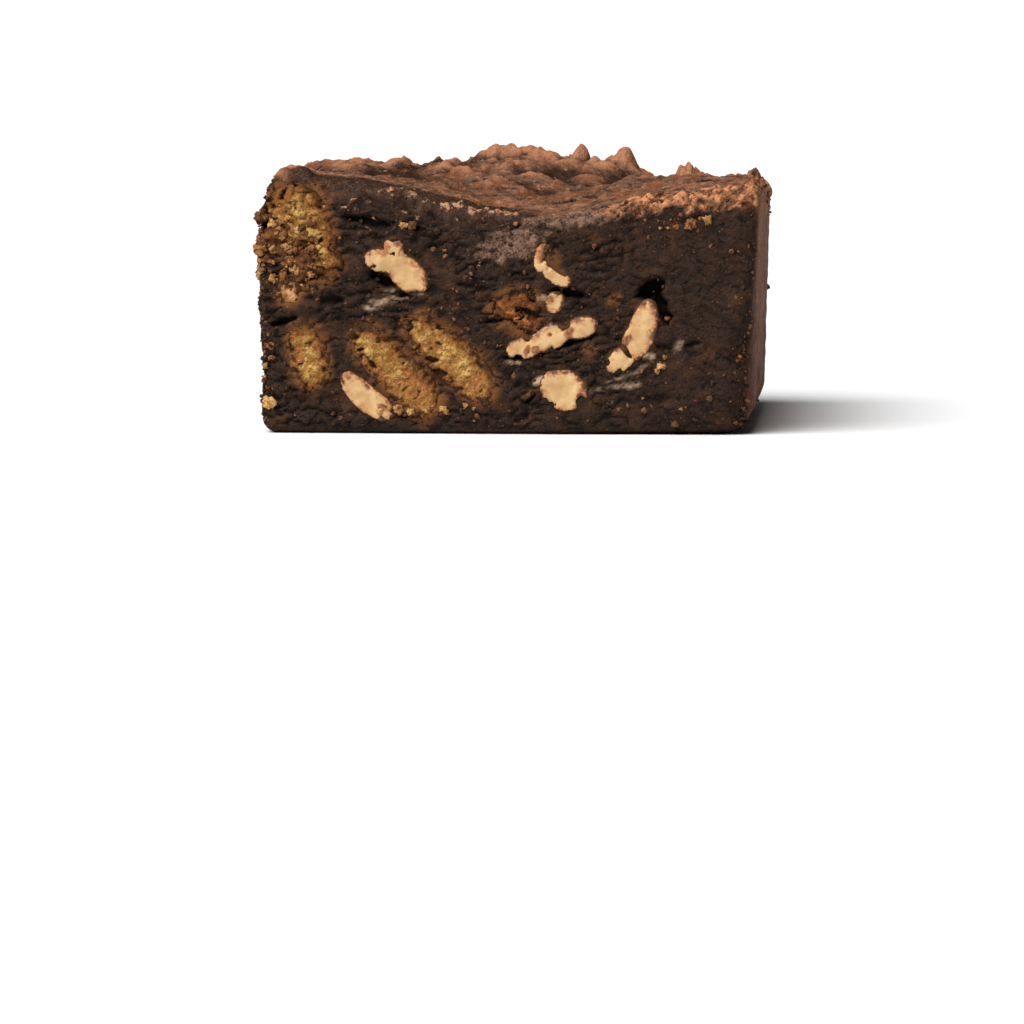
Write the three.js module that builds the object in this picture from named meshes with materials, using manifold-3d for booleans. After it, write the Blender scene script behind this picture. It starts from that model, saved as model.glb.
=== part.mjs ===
// A chocolate brownie cut from a tray bake: one thick fudge block with a crackled, sunken top. Broken
// biscuits and white chocolate chunks show in its three cut sides. The fourth side baked against the tin.
// Millimetres, +Z up. The origin is the middle of the underside. The front cut faces -Y, the tin side +X.
import * as THREE from "three";
import { mergeVertices } from "three/addons/utils/BufferGeometryUtils.js";
import Module from "manifold-3d";

const wasm = await Module();
wasm.setup();

// Driving dimensions of the block
const WIDTH = 71;
const DEPTH = 66;
const TOP_LEVEL = 36;
const HALF = new THREE.Vector3(WIDTH / 2, DEPTH / 2, TOP_LEVEL / 2);
const STEPS = { across: 28, along: 25, up: 12 };

// Edge radii: the knife leaves the cut edges crisp, and the tin's corner is wide
const TOP_RADIUS = 1.6;
const CUT_RADIUS = 2.4;
const TIN_RADIUS = 4.6;

// The top: a sag that opens at the front cut, a hump behind it, and a crust that rolls over the front
const SAG = { deep: 4.9, at: 3, reach: 18, run: 50 };
const HUMP = { high: 1.2, at: -3, reach: 15, from: 25, to: 60 };
const BACK_SLUMP = { deep: 2.4, from: 12, to: 20, start: 26, end: 56 };
const LIP = { deep: 3.4, run: 4.6, left: -4, right: 3.5, corner: 1.6 };
const LEAN_OF_TOP = 0.5;

// The cut on the left bulges below its top edge, and the tin's side draws in towards the bottom
const BULGE = { level: 27, top: 1.2, bottom: 0.2 };
const TIN_TAPER = 0.9;

// Relief: height of the crags on top and of the crumb on the sides, and the size of their grain
const CRAG = { low: 0.3, high: 1.2, from: 12, to: 36, grain: 7.5, edge: 0.5, edgeWide: 5 };
const CRUMB = { high: 0.45, long: 7, tall: 3.6 };

// The tallest crags of the top: place, height and half width of each
const PEAKS = [
  { x: -31, y: -27, high: 1.2, wide: 3.6 },
  { x: -25.5, y: 20, high: 0.8, wide: 2.2 },
  { x: -16.5, y: 26, high: 1.5, wide: 3 },
  { x: -8, y: 27, high: 1.7, wide: 3 },
  { x: -1.5, y: 26, high: 1.2, wide: 4 },
  { x: 7, y: 25, high: 2.4, wide: 1.8 },
  { x: 13, y: 26, high: 3, wide: 2.4 },
  { x: 24.2, y: 25, high: 3.6, wide: 2.4 },
  { x: 34, y: 29, high: 3.2, wide: 2.4 },
];
const TIN_GROOVE = { high: 0.22, pitch: 5 };

// A chunk stands this far clear of its pocket, and narrows by this share from its side to its inner end.
// It stands proud of its side until it is cut flush. Longer lobes have a finer outline.
const CLEARANCE = 0.3;
const DRAFT = 0.3;
const PROUD = 2;
const LARGE_LOBE = 6;

const { clamp, lerp, smoothstep, degToRad } = THREE.MathUtils;
const bell = (x, middle, reach) => Math.exp(-(((x - middle) / reach) ** 2));

// Repeatable noise from -1 to 1, smooth between the points of a unit lattice
function latticeValue(i, j, k) {
  const s = Math.sin(i * 127.1 + j * 311.7 + k * 74.7) * 43758.5453;
  return 2 * (s - Math.floor(s)) - 1;
}
function noise(x, y, z) {
  const [i, j, k] = [x, y, z].map(Math.floor);
  const [u, v, w] = [x - i, y - j, z - k].map((t) => t * t * (3 - 2 * t));
  const edge = (b, c) => lerp(latticeValue(i, j + b, k + c), latticeValue(i + 1, j + b, k + c), u);
  const face = (c) => lerp(edge(0, c), edge(1, c), v);
  return lerp(face(0), face(1), w);
}

// Height of the top at a point, before its crags
function topHeight(x, y) {
  const behind = y + HALF.y;
  const sag = SAG.deep * bell(x, SAG.at, SAG.reach) * (1 - smoothstep(behind, 0, SAG.run));
  const hump = HUMP.high * bell(x, HUMP.at, HUMP.reach) * smoothstep(behind, HUMP.from, HUMP.to);
  const slumpAcross = smoothstep(x, BACK_SLUMP.from, BACK_SLUMP.to);
  const slump = BACK_SLUMP.deep * slumpAcross * smoothstep(behind, BACK_SLUMP.start, BACK_SLUMP.end);
  const lipSpan = 1 - smoothstep(x, LIP.left, LIP.right);
  const lipCorner = LIP.corner * smoothstep(-x, HALF.x - 12, HALF.x);
  const lip = (LIP.deep - lipCorner) * lipSpan * (1 - smoothstep(behind, 0, LIP.run));
  return TOP_LEVEL - (LEAN_OF_TOP * x) / HALF.x - sag + hump - slump - lip;
}

// Crags of the crust: sharp-crested ridges that grow from the smooth front to the rough back
function cragHeight(x, y) {
  const high = lerp(CRAG.low, CRAG.high, smoothstep(y + HALF.y, CRAG.from, CRAG.to));
  const inside = Math.min(HALF.x - Math.abs(x), HALF.y - Math.abs(y));
  const fade = lerp(CRAG.edge, 1, smoothstep(inside, 0, CRAG.edgeWide));
  const bend = 1.2 * noise(x / 9, y / 9, 5.5);
  const ridge = 1 - 2 * Math.abs(noise(x / CRAG.grain + bend, y / (CRAG.grain * 0.8) - bend, 1.5));
  const peaks = PEAKS.reduce((sum, peak) => {
    return sum + peak.high * bell(x, peak.x, peak.wide) * bell(y, peak.y, peak.wide);
  }, 0);
  return high * fade * (0.6 * ridge + 0.35 * noise(x / 4.6, y / 4.6, 8.5)) + peaks;
}

// Relief of an upright side: torn crumb on the cuts, faint upright grooves where the tin was
function sideRelief(p, outward) {
  const crumb = CRUMB.high * noise((p.x + p.y) / CRUMB.long, (p.x - p.y) / CRUMB.long, p.z / CRUMB.tall);
  const groove = TIN_GROOVE.high * noise(p.y / TIN_GROOVE.pitch, 2.5, p.z / 40);
  return lerp(crumb, groove, smoothstep(outward.x, 0.5, 0.9));
}

// How far a left or right side lies within the block's full width at a height
function flankInset(x, z) {
  if (x > 0) return TIN_TAPER * (1 - z / TOP_LEVEL);
  const above = BULGE.top * smoothstep(z, BULGE.level, TOP_LEVEL);
  return above + BULGE.bottom * (1 - smoothstep(z, 0, BULGE.level));
}

// Moves a point of the plain box onto the block
function onBlock(point) {
  const share = point.z / TOP_LEVEL + 0.5;
  const foot = lerp(CUT_RADIUS, TIN_RADIUS, smoothstep(point.x, 0, HALF.x));
  const radius = lerp(foot, TOP_RADIUS, smoothstep(share, 0.2, 0.7));
  const core = point.clone();
  for (const axis of ["x", "y", "z"]) {
    core[axis] = clamp(point[axis], radius - HALF[axis], HALF[axis] - radius);
  }
  const outward = point.clone().sub(core).normalize();
  const placed = core.addScaledVector(outward, radius);
  placed.z = (placed.z + HALF.z) * (topHeight(placed.x, placed.y) / TOP_LEVEL);
  placed.x -= (placed.x / HALF.x) * flankInset(placed.x, placed.z);
  const upright = new THREE.Vector3(outward.x, outward.y, 0);
  const relief = sideRelief(placed, outward) * smoothstep(placed.z, 0, 4);
  const crags = cragHeight(placed.x, placed.y) * clamp(outward.z, 0, 1);
  return placed.addScaledVector(upright, relief).setZ(placed.z + crags);
}

// Turns a three.js geometry into a solid that can be cut and joined, and back
function solidOf(geometry) {
  const bare = geometry.clone();
  bare.deleteAttribute("normal");
  bare.deleteAttribute("uv");
  const merged = mergeVertices(bare, 1e-3);
  return new wasm.Manifold(
    new wasm.Mesh({
      numProp: 3,
      vertProperties: merged.attributes.position.array,
      triVerts: new Uint32Array(merged.index.array),
    }),
  );
}
function geometryOf(solid) {
  const mesh = solid.getMesh();
  const geometry = new THREE.BufferGeometry();
  geometry.setAttribute("position", new THREE.BufferAttribute(mesh.vertProperties, 3));
  geometry.setIndex(new THREE.BufferAttribute(mesh.triVerts, 1));
  geometry.computeVertexNormals();
  return geometry;
}

// Moves each vertex of a geometry by a function of its place
function reshape(geometry, move) {
  const place = geometry.attributes.position;
  for (let i = 0; i < place.count; i++) {
    const moved = move(new THREE.Vector3().fromBufferAttribute(place, i));
    place.setXYZ(i, moved.x, moved.y, moved.z);
  }
  return geometry;
}

// The uncut block
function blockSolid() {
  const box = new THREE.BoxGeometry(WIDTH, DEPTH, TOP_LEVEL, STEPS.across, STEPS.along, STEPS.up);
  return solidOf(reshape(box, onBlock));
}

// A side of the block: how far the front is turned to reach it, and how far out it lies
const FRONT = { turn: 0, out: HALF.y };
const BACK = { turn: 180, out: HALF.y };
const LEFT = { turn: -90, out: HALF.x };

// Finishes
const food = (color, roughness) => new THREE.MeshStandardMaterial({ color, roughness, metalness: 0 });
const FUDGE = food(0x3a2a22, 0.8);
const BISCUIT = { finish: food(0xa87a42, 0.95), blocky: 3.2, rough: 0.1 };
const DARK_BISCUIT = { finish: food(0x6b4128, 0.95), blocky: 2.4, rough: 0.2 };
const WHITE = { finish: food(0xddb685, 0.5), blocky: 2.2, rough: 0.08 };

// One rounded lobe of a chunk, by its middle on its side, its length and width there, and its lean in
// degrees from level. A bow bends its length upwards at the ends, and narrow thins the far end.
const lobe = (across, up, long, wide, lean, bow = 0, narrow = 0) => {
  return { across, up, long, wide, lean, bow, narrow };
};

// A chunk: its name, what it is made of, how deep it reaches into the block, and its lobes
const FRONT_CHUNKS = [
  ["biscuit_corner", BISCUIT, 6.5, [lobe(-29.6, 29.4, 11, 8.6, -58), lobe(-27.2, 24.6, 6.4, 5.6, -40)]],
  ["biscuit_oval", BISCUIT, 6, [lobe(-28.3, 11, 9, 4.7, 103)]],
  ["biscuit_slant_left", BISCUIT, 8, [lobe(-15.8, 8.9, 16.4, 5.2, -45)]],
  ["biscuit_slant_right", BISCUIT, 8, [lobe(-8.1, 11, 16, 5, -43)]],
  ["biscuit_dark", DARK_BISCUIT, 4, [lobe(1.2, 18.2, 6.6, 4, 8), lobe(2.6, 15.9, 4.4, 1.9, -12)]],
  ["white_bean", WHITE, 4, [
    lobe(-14.2, 22.8, 6.6, 4, -44), lobe(-17.6, 24.6, 5, 2.7, -8), lobe(-16, 25.9, 3.6, 2.4, 100),
  ]],
  ["white_hook", WHITE, 2.5, [lobe(6.8, 22.8, 4.8, 1.8, -37, 0.3), lobe(5, 25, 3.6, 1.7, 80)]],
  ["white_root", WHITE, 3, [
    lobe(2.4, 12.3, 4.8, 2.5, 14), lobe(6, 13.7, 6, 2.9, 22), lobe(10.4, 15.2, 4.6, 2.6, 14),
  ]],
  ["white_leaf", WHITE, 4, [lobe(19, 15, 8.4, 3.6, 70, 0.3, 0.2), lobe(16.3, 10.9, 4.8, 2.5, 44)]],
  ["white_round", WHITE, 4.5, [lobe(8, 6.4, 6.3, 5.2, -18)]],
  ["white_slant", WHITE, 4, [lobe(-20, 5.3, 9.2, 3.2, -40, 0.4)]],
  ["white_crumb", WHITE, 1.8, [lobe(6.8, 18.7, 2.8, 2.2, 60)]],
  ["biscuit_chip", BISCUIT, 2.2, [lobe(-31, 19.9, 2.9, 2.4, 10)]],
];
const BACK_CHUNKS = [
  ["biscuit_back_left", BISCUIT, 8, [lobe(-25, 20.5, 14.5, 5.4, 52)]],
  ["biscuit_back_low", BISCUIT, 7, [lobe(-9, 7.6, 12.6, 5, 12)]],
  ["biscuit_back_middle", BISCUIT, 8, [lobe(6.6, 21, 15.6, 5.2, 34)]],
  ["biscuit_back_right", BISCUIT, 6, [lobe(26.4, 12, 9.4, 6, 96)]],
  ["white_back_left", WHITE, 4, [lobe(-12.4, 17.8, 7.6, 3.2, -14, 0.5)]],
  ["white_back_middle", WHITE, 4, [lobe(5.4, 9.4, 6.8, 4.4, -28), lobe(9.6, 7, 4.6, 2.4, 18)]],
  ["white_back_right", WHITE, 4, [lobe(20.6, 24.6, 5.4, 3.6, 30)]],
  ["white_back_low", WHITE, 3.5, [lobe(17.4, 4.8, 6.8, 2.6, -8, 0.4)]],
];
const LEFT_CHUNKS = [
  ["biscuit_left_back", BISCUIT, 8, [lobe(-20, 11.6, 14.8, 5, 47)]],
  ["biscuit_left_middle", BISCUIT, 7, [lobe(-3.4, 24, 12.4, 5.2, -24)]],
  ["biscuit_left_front", BISCUIT, 6, [lobe(14.8, 10.4, 10, 5, 78)]],
  ["white_left_back", WHITE, 4, [lobe(-21.6, 25.4, 6.6, 3.6, -30, 0.4)]],
  ["white_left_middle", WHITE, 4, [lobe(-4.4, 9.6, 7.4, 3.4, -52), lobe(-1.6, 6.2, 4, 2.4, -10)]],
  ["white_left_front", WHITE, 3.5, [lobe(13, 22.4, 5.6, 3.2, 22)]],
];

// A lobe as a closed solid: a lumpy outline that runs in from its side's surface and narrows as it goes.
// It is grown by a margin on every side, and stands out of the block far enough to be cut flush.
function lobeSolid(shape, stuff, deep, side, margin) {
  const half = { long: shape.long / 2, wide: shape.wide / 2 };
  const lean = degToRad(shape.lean);
  const post = new THREE.CylinderGeometry(1, 1, 2, shape.long > LARGE_LOBE ? 13 : 9);
  reshape(post, (p) => {
    const inward = p.y < 0 ? -PROUD : deep + margin;
    const round = Math.hypot(p.x, p.z);
    const outline = Math.abs(p.x) ** stuff.blocky + Math.abs(p.z) ** stuff.blocky;
    const lumpy = 1 + stuff.rough * noise(2.2 * p.x + shape.across, 2.2 * p.z + shape.up, 0.5);
    const swell = round > 0 ? (lumpy * round) / outline ** (1 / stuff.blocky) : 0;
    const scale = swell * (1 - (DRAFT * inward) / deep);
    const along = p.x * scale * (half.long + margin);
    const thick = (half.wide + margin) * (1 - shape.narrow * p.x);
    const rise = p.z * scale * thick + shape.bow * (p.x * p.x - 0.4);
    return new THREE.Vector3(
      shape.across + along * Math.cos(lean) - rise * Math.sin(lean),
      inward - side.out,
      shape.up + along * Math.sin(lean) + rise * Math.cos(lean),
    );
  });
  return solidOf(post.rotateZ(degToRad(side.turn)));
}

// A chunk's lobes joined
function chunkSolid(shapes, stuff, deep, side, margin) {
  return shapes
    .map((shape) => lobeSolid(shape, stuff, deep, side, margin))
    .reduce((joined, next) => joined.add(next));
}

// A named mesh whose own origin is the middle of its geometry
function piece(name, solid, material) {
  const geometry = geometryOf(solid);
  geometry.computeBoundingBox();
  const middle = geometry.boundingBox.getCenter(new THREE.Vector3());
  const mesh = new THREE.Mesh(geometry.translate(-middle.x, -middle.y, -middle.z), material);
  mesh.name = name;
  mesh.position.copy(middle);
  return mesh;
}

// The chunks of one side, cut flush with the block, and the block with their pockets
function setChunks(block, chunks, side, group) {
  return chunks.reduce((left, [name, stuff, deep, shapes]) => {
    const flush = chunkSolid(shapes, stuff, deep, side, 0).intersect(block);
    group.add(piece(name, flush, stuff.finish));
    return left.subtract(chunkSolid(shapes, stuff, deep, side, CLEARANCE));
  }, block);
}

// The whole brownie, with its origin under the middle of its outline
function brownie() {
  const whole = new THREE.Group();
  let block = blockSolid();
  for (const [chunks, side] of [[FRONT_CHUNKS, FRONT], [BACK_CHUNKS, BACK], [LEFT_CHUNKS, LEFT]]) {
    const group = new THREE.Group();
    block = setChunks(block, chunks, side, group);
    whole.add(group);
  }
  whole.add(piece("fudge_block", block, FUDGE));
  const outline = new THREE.Box3().setFromObject(whole);
  const middle = outline.getCenter(new THREE.Vector3());
  whole.position.set(-middle.x, -middle.y, -outline.min.z);
  return whole;
}

export default brownie();
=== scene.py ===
"""A chocolate brownie cut from a tray bake, dressed for a studio picture.

The block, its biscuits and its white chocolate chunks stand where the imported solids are. Shapes are worked
out in millimetres and turned into metres when a mesh is made. The front cut faces -Y and +Z is up.
"""

import logging
import math
from collections.abc import Callable
from dataclasses import dataclass, field
from enum import Enum
from itertools import product
from types import SimpleNamespace

import bmesh
import bpy
import numpy as np
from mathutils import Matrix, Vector
from mathutils.bvhtree import BVHTree

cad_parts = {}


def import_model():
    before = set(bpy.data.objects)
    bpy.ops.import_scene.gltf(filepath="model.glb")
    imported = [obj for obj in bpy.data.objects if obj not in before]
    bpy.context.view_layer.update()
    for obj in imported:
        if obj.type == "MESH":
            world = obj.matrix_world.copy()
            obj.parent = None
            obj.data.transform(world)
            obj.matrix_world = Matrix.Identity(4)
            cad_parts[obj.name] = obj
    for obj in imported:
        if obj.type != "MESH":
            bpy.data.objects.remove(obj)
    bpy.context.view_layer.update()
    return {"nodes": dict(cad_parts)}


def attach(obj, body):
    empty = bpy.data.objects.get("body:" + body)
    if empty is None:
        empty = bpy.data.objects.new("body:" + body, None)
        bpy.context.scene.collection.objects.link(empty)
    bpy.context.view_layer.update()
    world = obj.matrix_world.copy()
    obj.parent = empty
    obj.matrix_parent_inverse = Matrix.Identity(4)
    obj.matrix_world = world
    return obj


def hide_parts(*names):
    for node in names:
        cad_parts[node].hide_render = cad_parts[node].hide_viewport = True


log = logging.getLogger("brownie")

Colour = tuple[float, float, float, float]
Node = bpy.types.Node
Piece = bpy.types.Object
Socket = bpy.types.NodeSocket
Tree = bpy.types.NodeTree

MM = 0.001
# The lattice's random numbers, how far its cells' middles stray, and grit's turn and height
LATTICE_STEPS = (127.1, 311.7, 74.7)
LATTICE_SPREAD = 43758.5453
CELL_STRAY = 0.42
OFF_AXIS = np.array([[0.36, 0.48, -0.8], [-0.8, 0.6, 0.0], [0.48, 0.64, 0.6]])
GRIT_HEIGHT = 1.7


# Small helpers for shapes


def smooth(value: np.ndarray, low: float, high: float) -> np.ndarray:
    """Ease from 0 at low to 1 at high. Low may be above high, and the ease then runs down."""
    share = np.clip((value - low) / (high - low), 0.0, 1.0)
    return share * share * (3.0 - 2.0 * share)


def mix(low: np.ndarray, high: np.ndarray, share: np.ndarray) -> np.ndarray:
    """Blend from low to high by share."""
    return low + (high - low) * share


def bell(value: np.ndarray, middle: float, reach: float) -> np.ndarray:
    """A bump of height 1 at the middle that fades within its reach."""
    return np.exp(-(((value - middle) / reach) ** 2))


def lattice_value(cell: np.ndarray) -> np.ndarray:
    """Repeatable random numbers from -1 to 1 for the whole-number places of a lattice, one for each row."""
    turned = np.sin(sum(cell[..., axis] * LATTICE_STEPS[axis] for axis in range(3))) * LATTICE_SPREAD
    return 2.0 * (turned - np.floor(turned)) - 1.0


def blend_corners(place: np.ndarray, value: Callable[[np.ndarray, np.ndarray], np.ndarray]) -> np.ndarray:
    """Blend what stands at the eight lattice corners round each place.

    Args:
        place: Places in lattice steps, three to a row.
        value: Gives each row's number for its corner and its way from there.

    Returns:
        One number for each row.
    """
    cell = np.floor(place)
    part = place - cell
    ease = part * part * (3.0 - 2.0 * part)
    total = np.zeros(len(place))
    for corner in product((0, 1), repeat=3):
        step = np.array(corner)
        weight = np.prod(np.where(step == 1, ease, 1.0 - ease), axis=1)
        total += weight * value(cell + step, part - step)
    return total


def noise(points: np.ndarray, seed: float = 0.0) -> np.ndarray:
    """Smooth repeatable noise from -1 to 1 for places in lattice steps. The seed moves the pattern."""
    place = points + np.array([0.0, 0.0, seed * 17.0])
    return blend_corners(place, lambda corner, _: lattice_value(corner))


def grit(points: np.ndarray, size: float, seed: float) -> np.ndarray:
    """Fine smooth noise that doesn't line up with the axes.

    Args:
        points: Places in millimetres, three to a row.
        size: Usual size of its lumps, in millimetres.
        seed: A number that moves the pattern.

    Returns:
        One number for each row, mostly from -1 to 1.
    """

    def along_slope(corner: np.ndarray, away: np.ndarray) -> np.ndarray:
        """How far each corner's own slope has risen at the place."""
        slopes = np.stack([lattice_value(corner + 57.0 * axis) for axis in range(3)], 1)
        return np.einsum("ij,ij->i", slopes, away)

    return blend_corners(points @ OFF_AXIS / size + seed * 7.3, along_slope) * GRIT_HEIGHT


@dataclass
class Cells:
    """What is nearest to each point among scattered cell middles, in cell sizes."""

    near: np.ndarray
    second: np.ndarray
    away: np.ndarray
    draw: np.ndarray

    @property
    def border(self) -> np.ndarray:
        """How far each point lies inside its cell, 0 on the border."""
        return self.second - self.near


def scatter_cells(points: np.ndarray, size: tuple[float, float, float], seed: float) -> Cells:
    """Divide space into uneven cells.

    Args:
        points: Places in millimetres, three to a row.
        size: Usual cell size along each axis, in millimetres.
        seed: A whole number that moves the pattern.

    Returns:
        The nearest cell of each point.
    """
    place = points / np.array(size)
    home = np.floor(place)
    near = np.full(len(points), 9.0)
    second = np.full(len(points), 9.0)
    away = np.zeros_like(place)
    draw = np.zeros(len(points))
    for offset in product((-1, 0, 1), repeat=3):
        cell = home + np.array(offset)
        shifts = [lattice_value(cell + 31.0 * (axis + 1) + seed * 13.0) * CELL_STRAY for axis in range(3)]
        gap = place - cell - 0.5 - np.stack(shifts, axis=1)
        distance = np.linalg.norm(gap, axis=1)
        closer = distance < near
        second = np.where(closer, near, np.minimum(second, distance))
        near = np.where(closer, distance, near)
        away[closer] = gap[closer]
        draw[closer] = lattice_value(cell + 7.0 + seed * 5.0)[closer]
    return Cells(near, second, away, draw)


def search_tree(solid: Piece) -> tuple[BVHTree, np.ndarray]:
    """Make a search tree of a solid, in millimetres, and give its points too."""
    points = np.array([v.co[:] for v in solid.data.vertices]) / MM
    return BVHTree.FromPolygons(points.tolist(), [list(f.vertices) for f in solid.data.polygons]), points


def outside_by(tree: BVHTree, place: np.ndarray) -> tuple[float, Vector]:
    """How far a place lies outside a solid, below 0 inside it, and the way the nearest face looks."""
    spot, normal, _, distance = tree.find_nearest(Vector(place))
    return (distance if (Vector(place) - spot).dot(normal) > 0.0 else -distance), normal


def make_object(name: str, points: np.ndarray, faces: list, marks: dict[str, np.ndarray]) -> Piece:
    """Make a smooth mesh object with named numbers on its points.

    Args:
        name: The piece's name.
        points: Places in millimetres, three to a row.
        faces: Lists of point numbers.
        marks: Numbers for each point, read by the materials.

    Returns:
        The object, in the scene.
    """
    mesh = bpy.data.meshes.new(name)
    mesh.from_pydata((points * MM).tolist(), [], faces)
    for mark, values in marks.items():
        layer = mesh.attributes.new(mark, "FLOAT", "POINT")
        layer.data.foreach_set("value", np.ascontiguousarray(values, dtype=np.float32))
    mesh.polygons.foreach_set("use_smooth", np.ones(len(mesh.polygons), dtype=bool))
    mesh.update()
    piece = bpy.data.objects.new(name, mesh)
    bpy.context.scene.collection.objects.link(piece)
    return piece


# Materials


def linear(red: int, green: int, blue: int) -> Colour:
    """Turn a screen colour, each part 0 to 255, into the light values that a shader takes."""
    shares = (channel / 255.0 for channel in (red, green, blue))
    return (*(s / 12.92 if s <= 0.04045 else ((s + 0.055) / 1.055) ** 2.4 for s in shares), 1.0)


@dataclass
class Board:
    """A node tree with short ways to add and join nodes."""

    tree: Tree

    def add(self, kind: str, inputs: dict | None = None, **settings: object) -> Node:
        """Add a node.

        Args:
            kind: The node's type name, without the leading ShaderNode.
            inputs: Values or output sockets for its inputs, by name or number.
            settings: Values for the node's own settings.

        Returns:
            The node.
        """
        node = self.tree.nodes.new("ShaderNode" + kind)
        for setting, value in settings.items():
            setattr(node, setting, value)
        for socket, value in (inputs or {}).items():
            self.feed(node, socket, value)
        return node

    def feed(self, node: Node, socket: str | int, value: object) -> None:
        """Join an output to an input, or set the input's value.

        Args:
            node: The node that takes it.
            socket: The input's name or number.
            value: An output socket or a plain value.
        """
        if isinstance(value, Socket):
            self.tree.links.new(value, node.inputs[socket])
        else:
            node.inputs[socket].default_value = value

    def mark(self, name: str) -> Socket:
        """The number that a mesh holds under a name."""
        return self.add("Attribute", attribute_name=name).outputs["Fac"]

    def ramp(self, value: object, low: object, high: object, start: float = 0.0, end: float = 1.0) -> Socket:
        """Ease a number from start at low to end at high, held at both ends. Low may be above high."""
        ends = {"Value": value, "From Min": low, "From Max": high, "To Min": start, "To Max": end}
        return self.add("MapRange", ends, interpolation_type="SMOOTHSTEP").outputs["Result"]

    def blend(self, share: object, low: object, high: object) -> Socket:
        """Mix two colours.

        Args:
            share: How much of the second one, from 0 to 1.
            low: The first colour.
            high: The second colour.

        Returns:
            The mixed colour.
        """
        node = self.add("Mix", data_type="RGBA", clamp_factor=True)
        for socket, value in ((0, share), (6, low), (7, high)):
            self.feed(node, socket, value)
        return node.outputs[2]

    def layers(self, colour: object, *coats: tuple[object, object]) -> Socket:
        """Lay colours over a first one, in turn.

        Args:
            colour: The lowest colour.
            coats: How much of each further colour, and the colour.

        Returns:
            The colour that shows.
        """
        for share, tone in coats:
            colour = self.blend(share, colour, tone)
        return colour

    def sum(self, first: object, second: object, kind: str = "ADD") -> Socket:
        """Work on two numbers with a math node, usually to add them."""
        return self.add("Math", {0: first, 1: second}, operation=kind).outputs[0]

    def times(self, first: object, second: object) -> Socket:
        """Multiply two numbers."""
        return self.sum(first, second, "MULTIPLY")

    def minus(self, first: object, second: object) -> Socket:
        """Take the second number from the first."""
        return self.sum(first, second, "SUBTRACT")

    def place(self, stretch: tuple[float, float, float] = (1.0, 1.0, 1.0)) -> Socket:
        """The place on the object in millimetres, with each axis multiplied by its stretch."""
        inputs = {"Vector": self.add("TexCoord").outputs["Object"], "Scale": [s / MM for s in stretch]}
        return self.add("Mapping", inputs).outputs["Vector"]

    def noise(self, place: Socket, scale: object, detail: float, rough: float = 0.5) -> Socket:
        """Cloudy noise, from 0 to 1."""
        inputs = {"Vector": place, "Scale": scale, "Detail": detail, "Roughness": rough}
        return self.add("TexNoise", inputs).outputs["Fac"]

    def bend(self, place: Socket, scale: float, detail: float, reach: tuple[float, float, float]) -> Socket:
        """Shift a place unevenly.

        Args:
            place: The place.
            scale: How fine the shifts are.
            detail: How much finer they are within.
            reach: How far it shifts along each axis, in millimetres.

        Returns:
            The shifted place.
        """
        ruffle = self.add("TexNoise", {"Vector": place, "Scale": scale, "Detail": detail}).outputs["Color"]
        shift = self.add("VectorMath", {0: ruffle, 1: reach}, operation="MULTIPLY").outputs[0]
        return self.add("VectorMath", {0: place, 1: shift}, operation="ADD").outputs[0]

    def group(self, tree: Tree, **inputs: object) -> SimpleNamespace:
        """Place a node group.

        Args:
            tree: The group.
            inputs: Its own values or sockets, by input name.

        Returns:
            Its outputs, by name in small letters.
        """
        node = self.tree.nodes.new("ShaderNodeGroup")
        node.node_tree = tree
        for socket, value in inputs.items():
            self.feed(node, socket, value)
        return SimpleNamespace(**{socket.name.lower(): socket for socket in node.outputs})


def new_group(
    name: str, inputs: dict[str, float], *outputs: str
) -> tuple[Board, dict[str, Socket], Node, Socket, Socket]:
    """Start a node group of numbers that has a size in millimetres.

    Args:
        name: The group's name.
        inputs: Each input's name and usual value, Size among them.
        outputs: The names of what it gives.

    Returns:
        The board, its input sockets by name, the node that takes the outputs, the place on the object and
        how many of the size go into a millimetre.
    """
    tree = bpy.data.node_groups.new(name, "ShaderNodeTree")
    for label, usual in inputs.items():
        socket = tree.interface.new_socket(label, in_out="INPUT", socket_type="NodeSocketFloat")
        socket.default_value = usual
    for label in outputs:
        tree.interface.new_socket(label, in_out="OUTPUT", socket_type="NodeSocketFloat")
    source = tree.nodes.new("NodeGroupInput")
    board, given = Board(tree), {label: source.outputs[label] for label in inputs}
    fine = board.sum(1.0, given["Size"], "DIVIDE")
    return board, given, tree.nodes.new("NodeGroupOutput"), board.place(), fine


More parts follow.
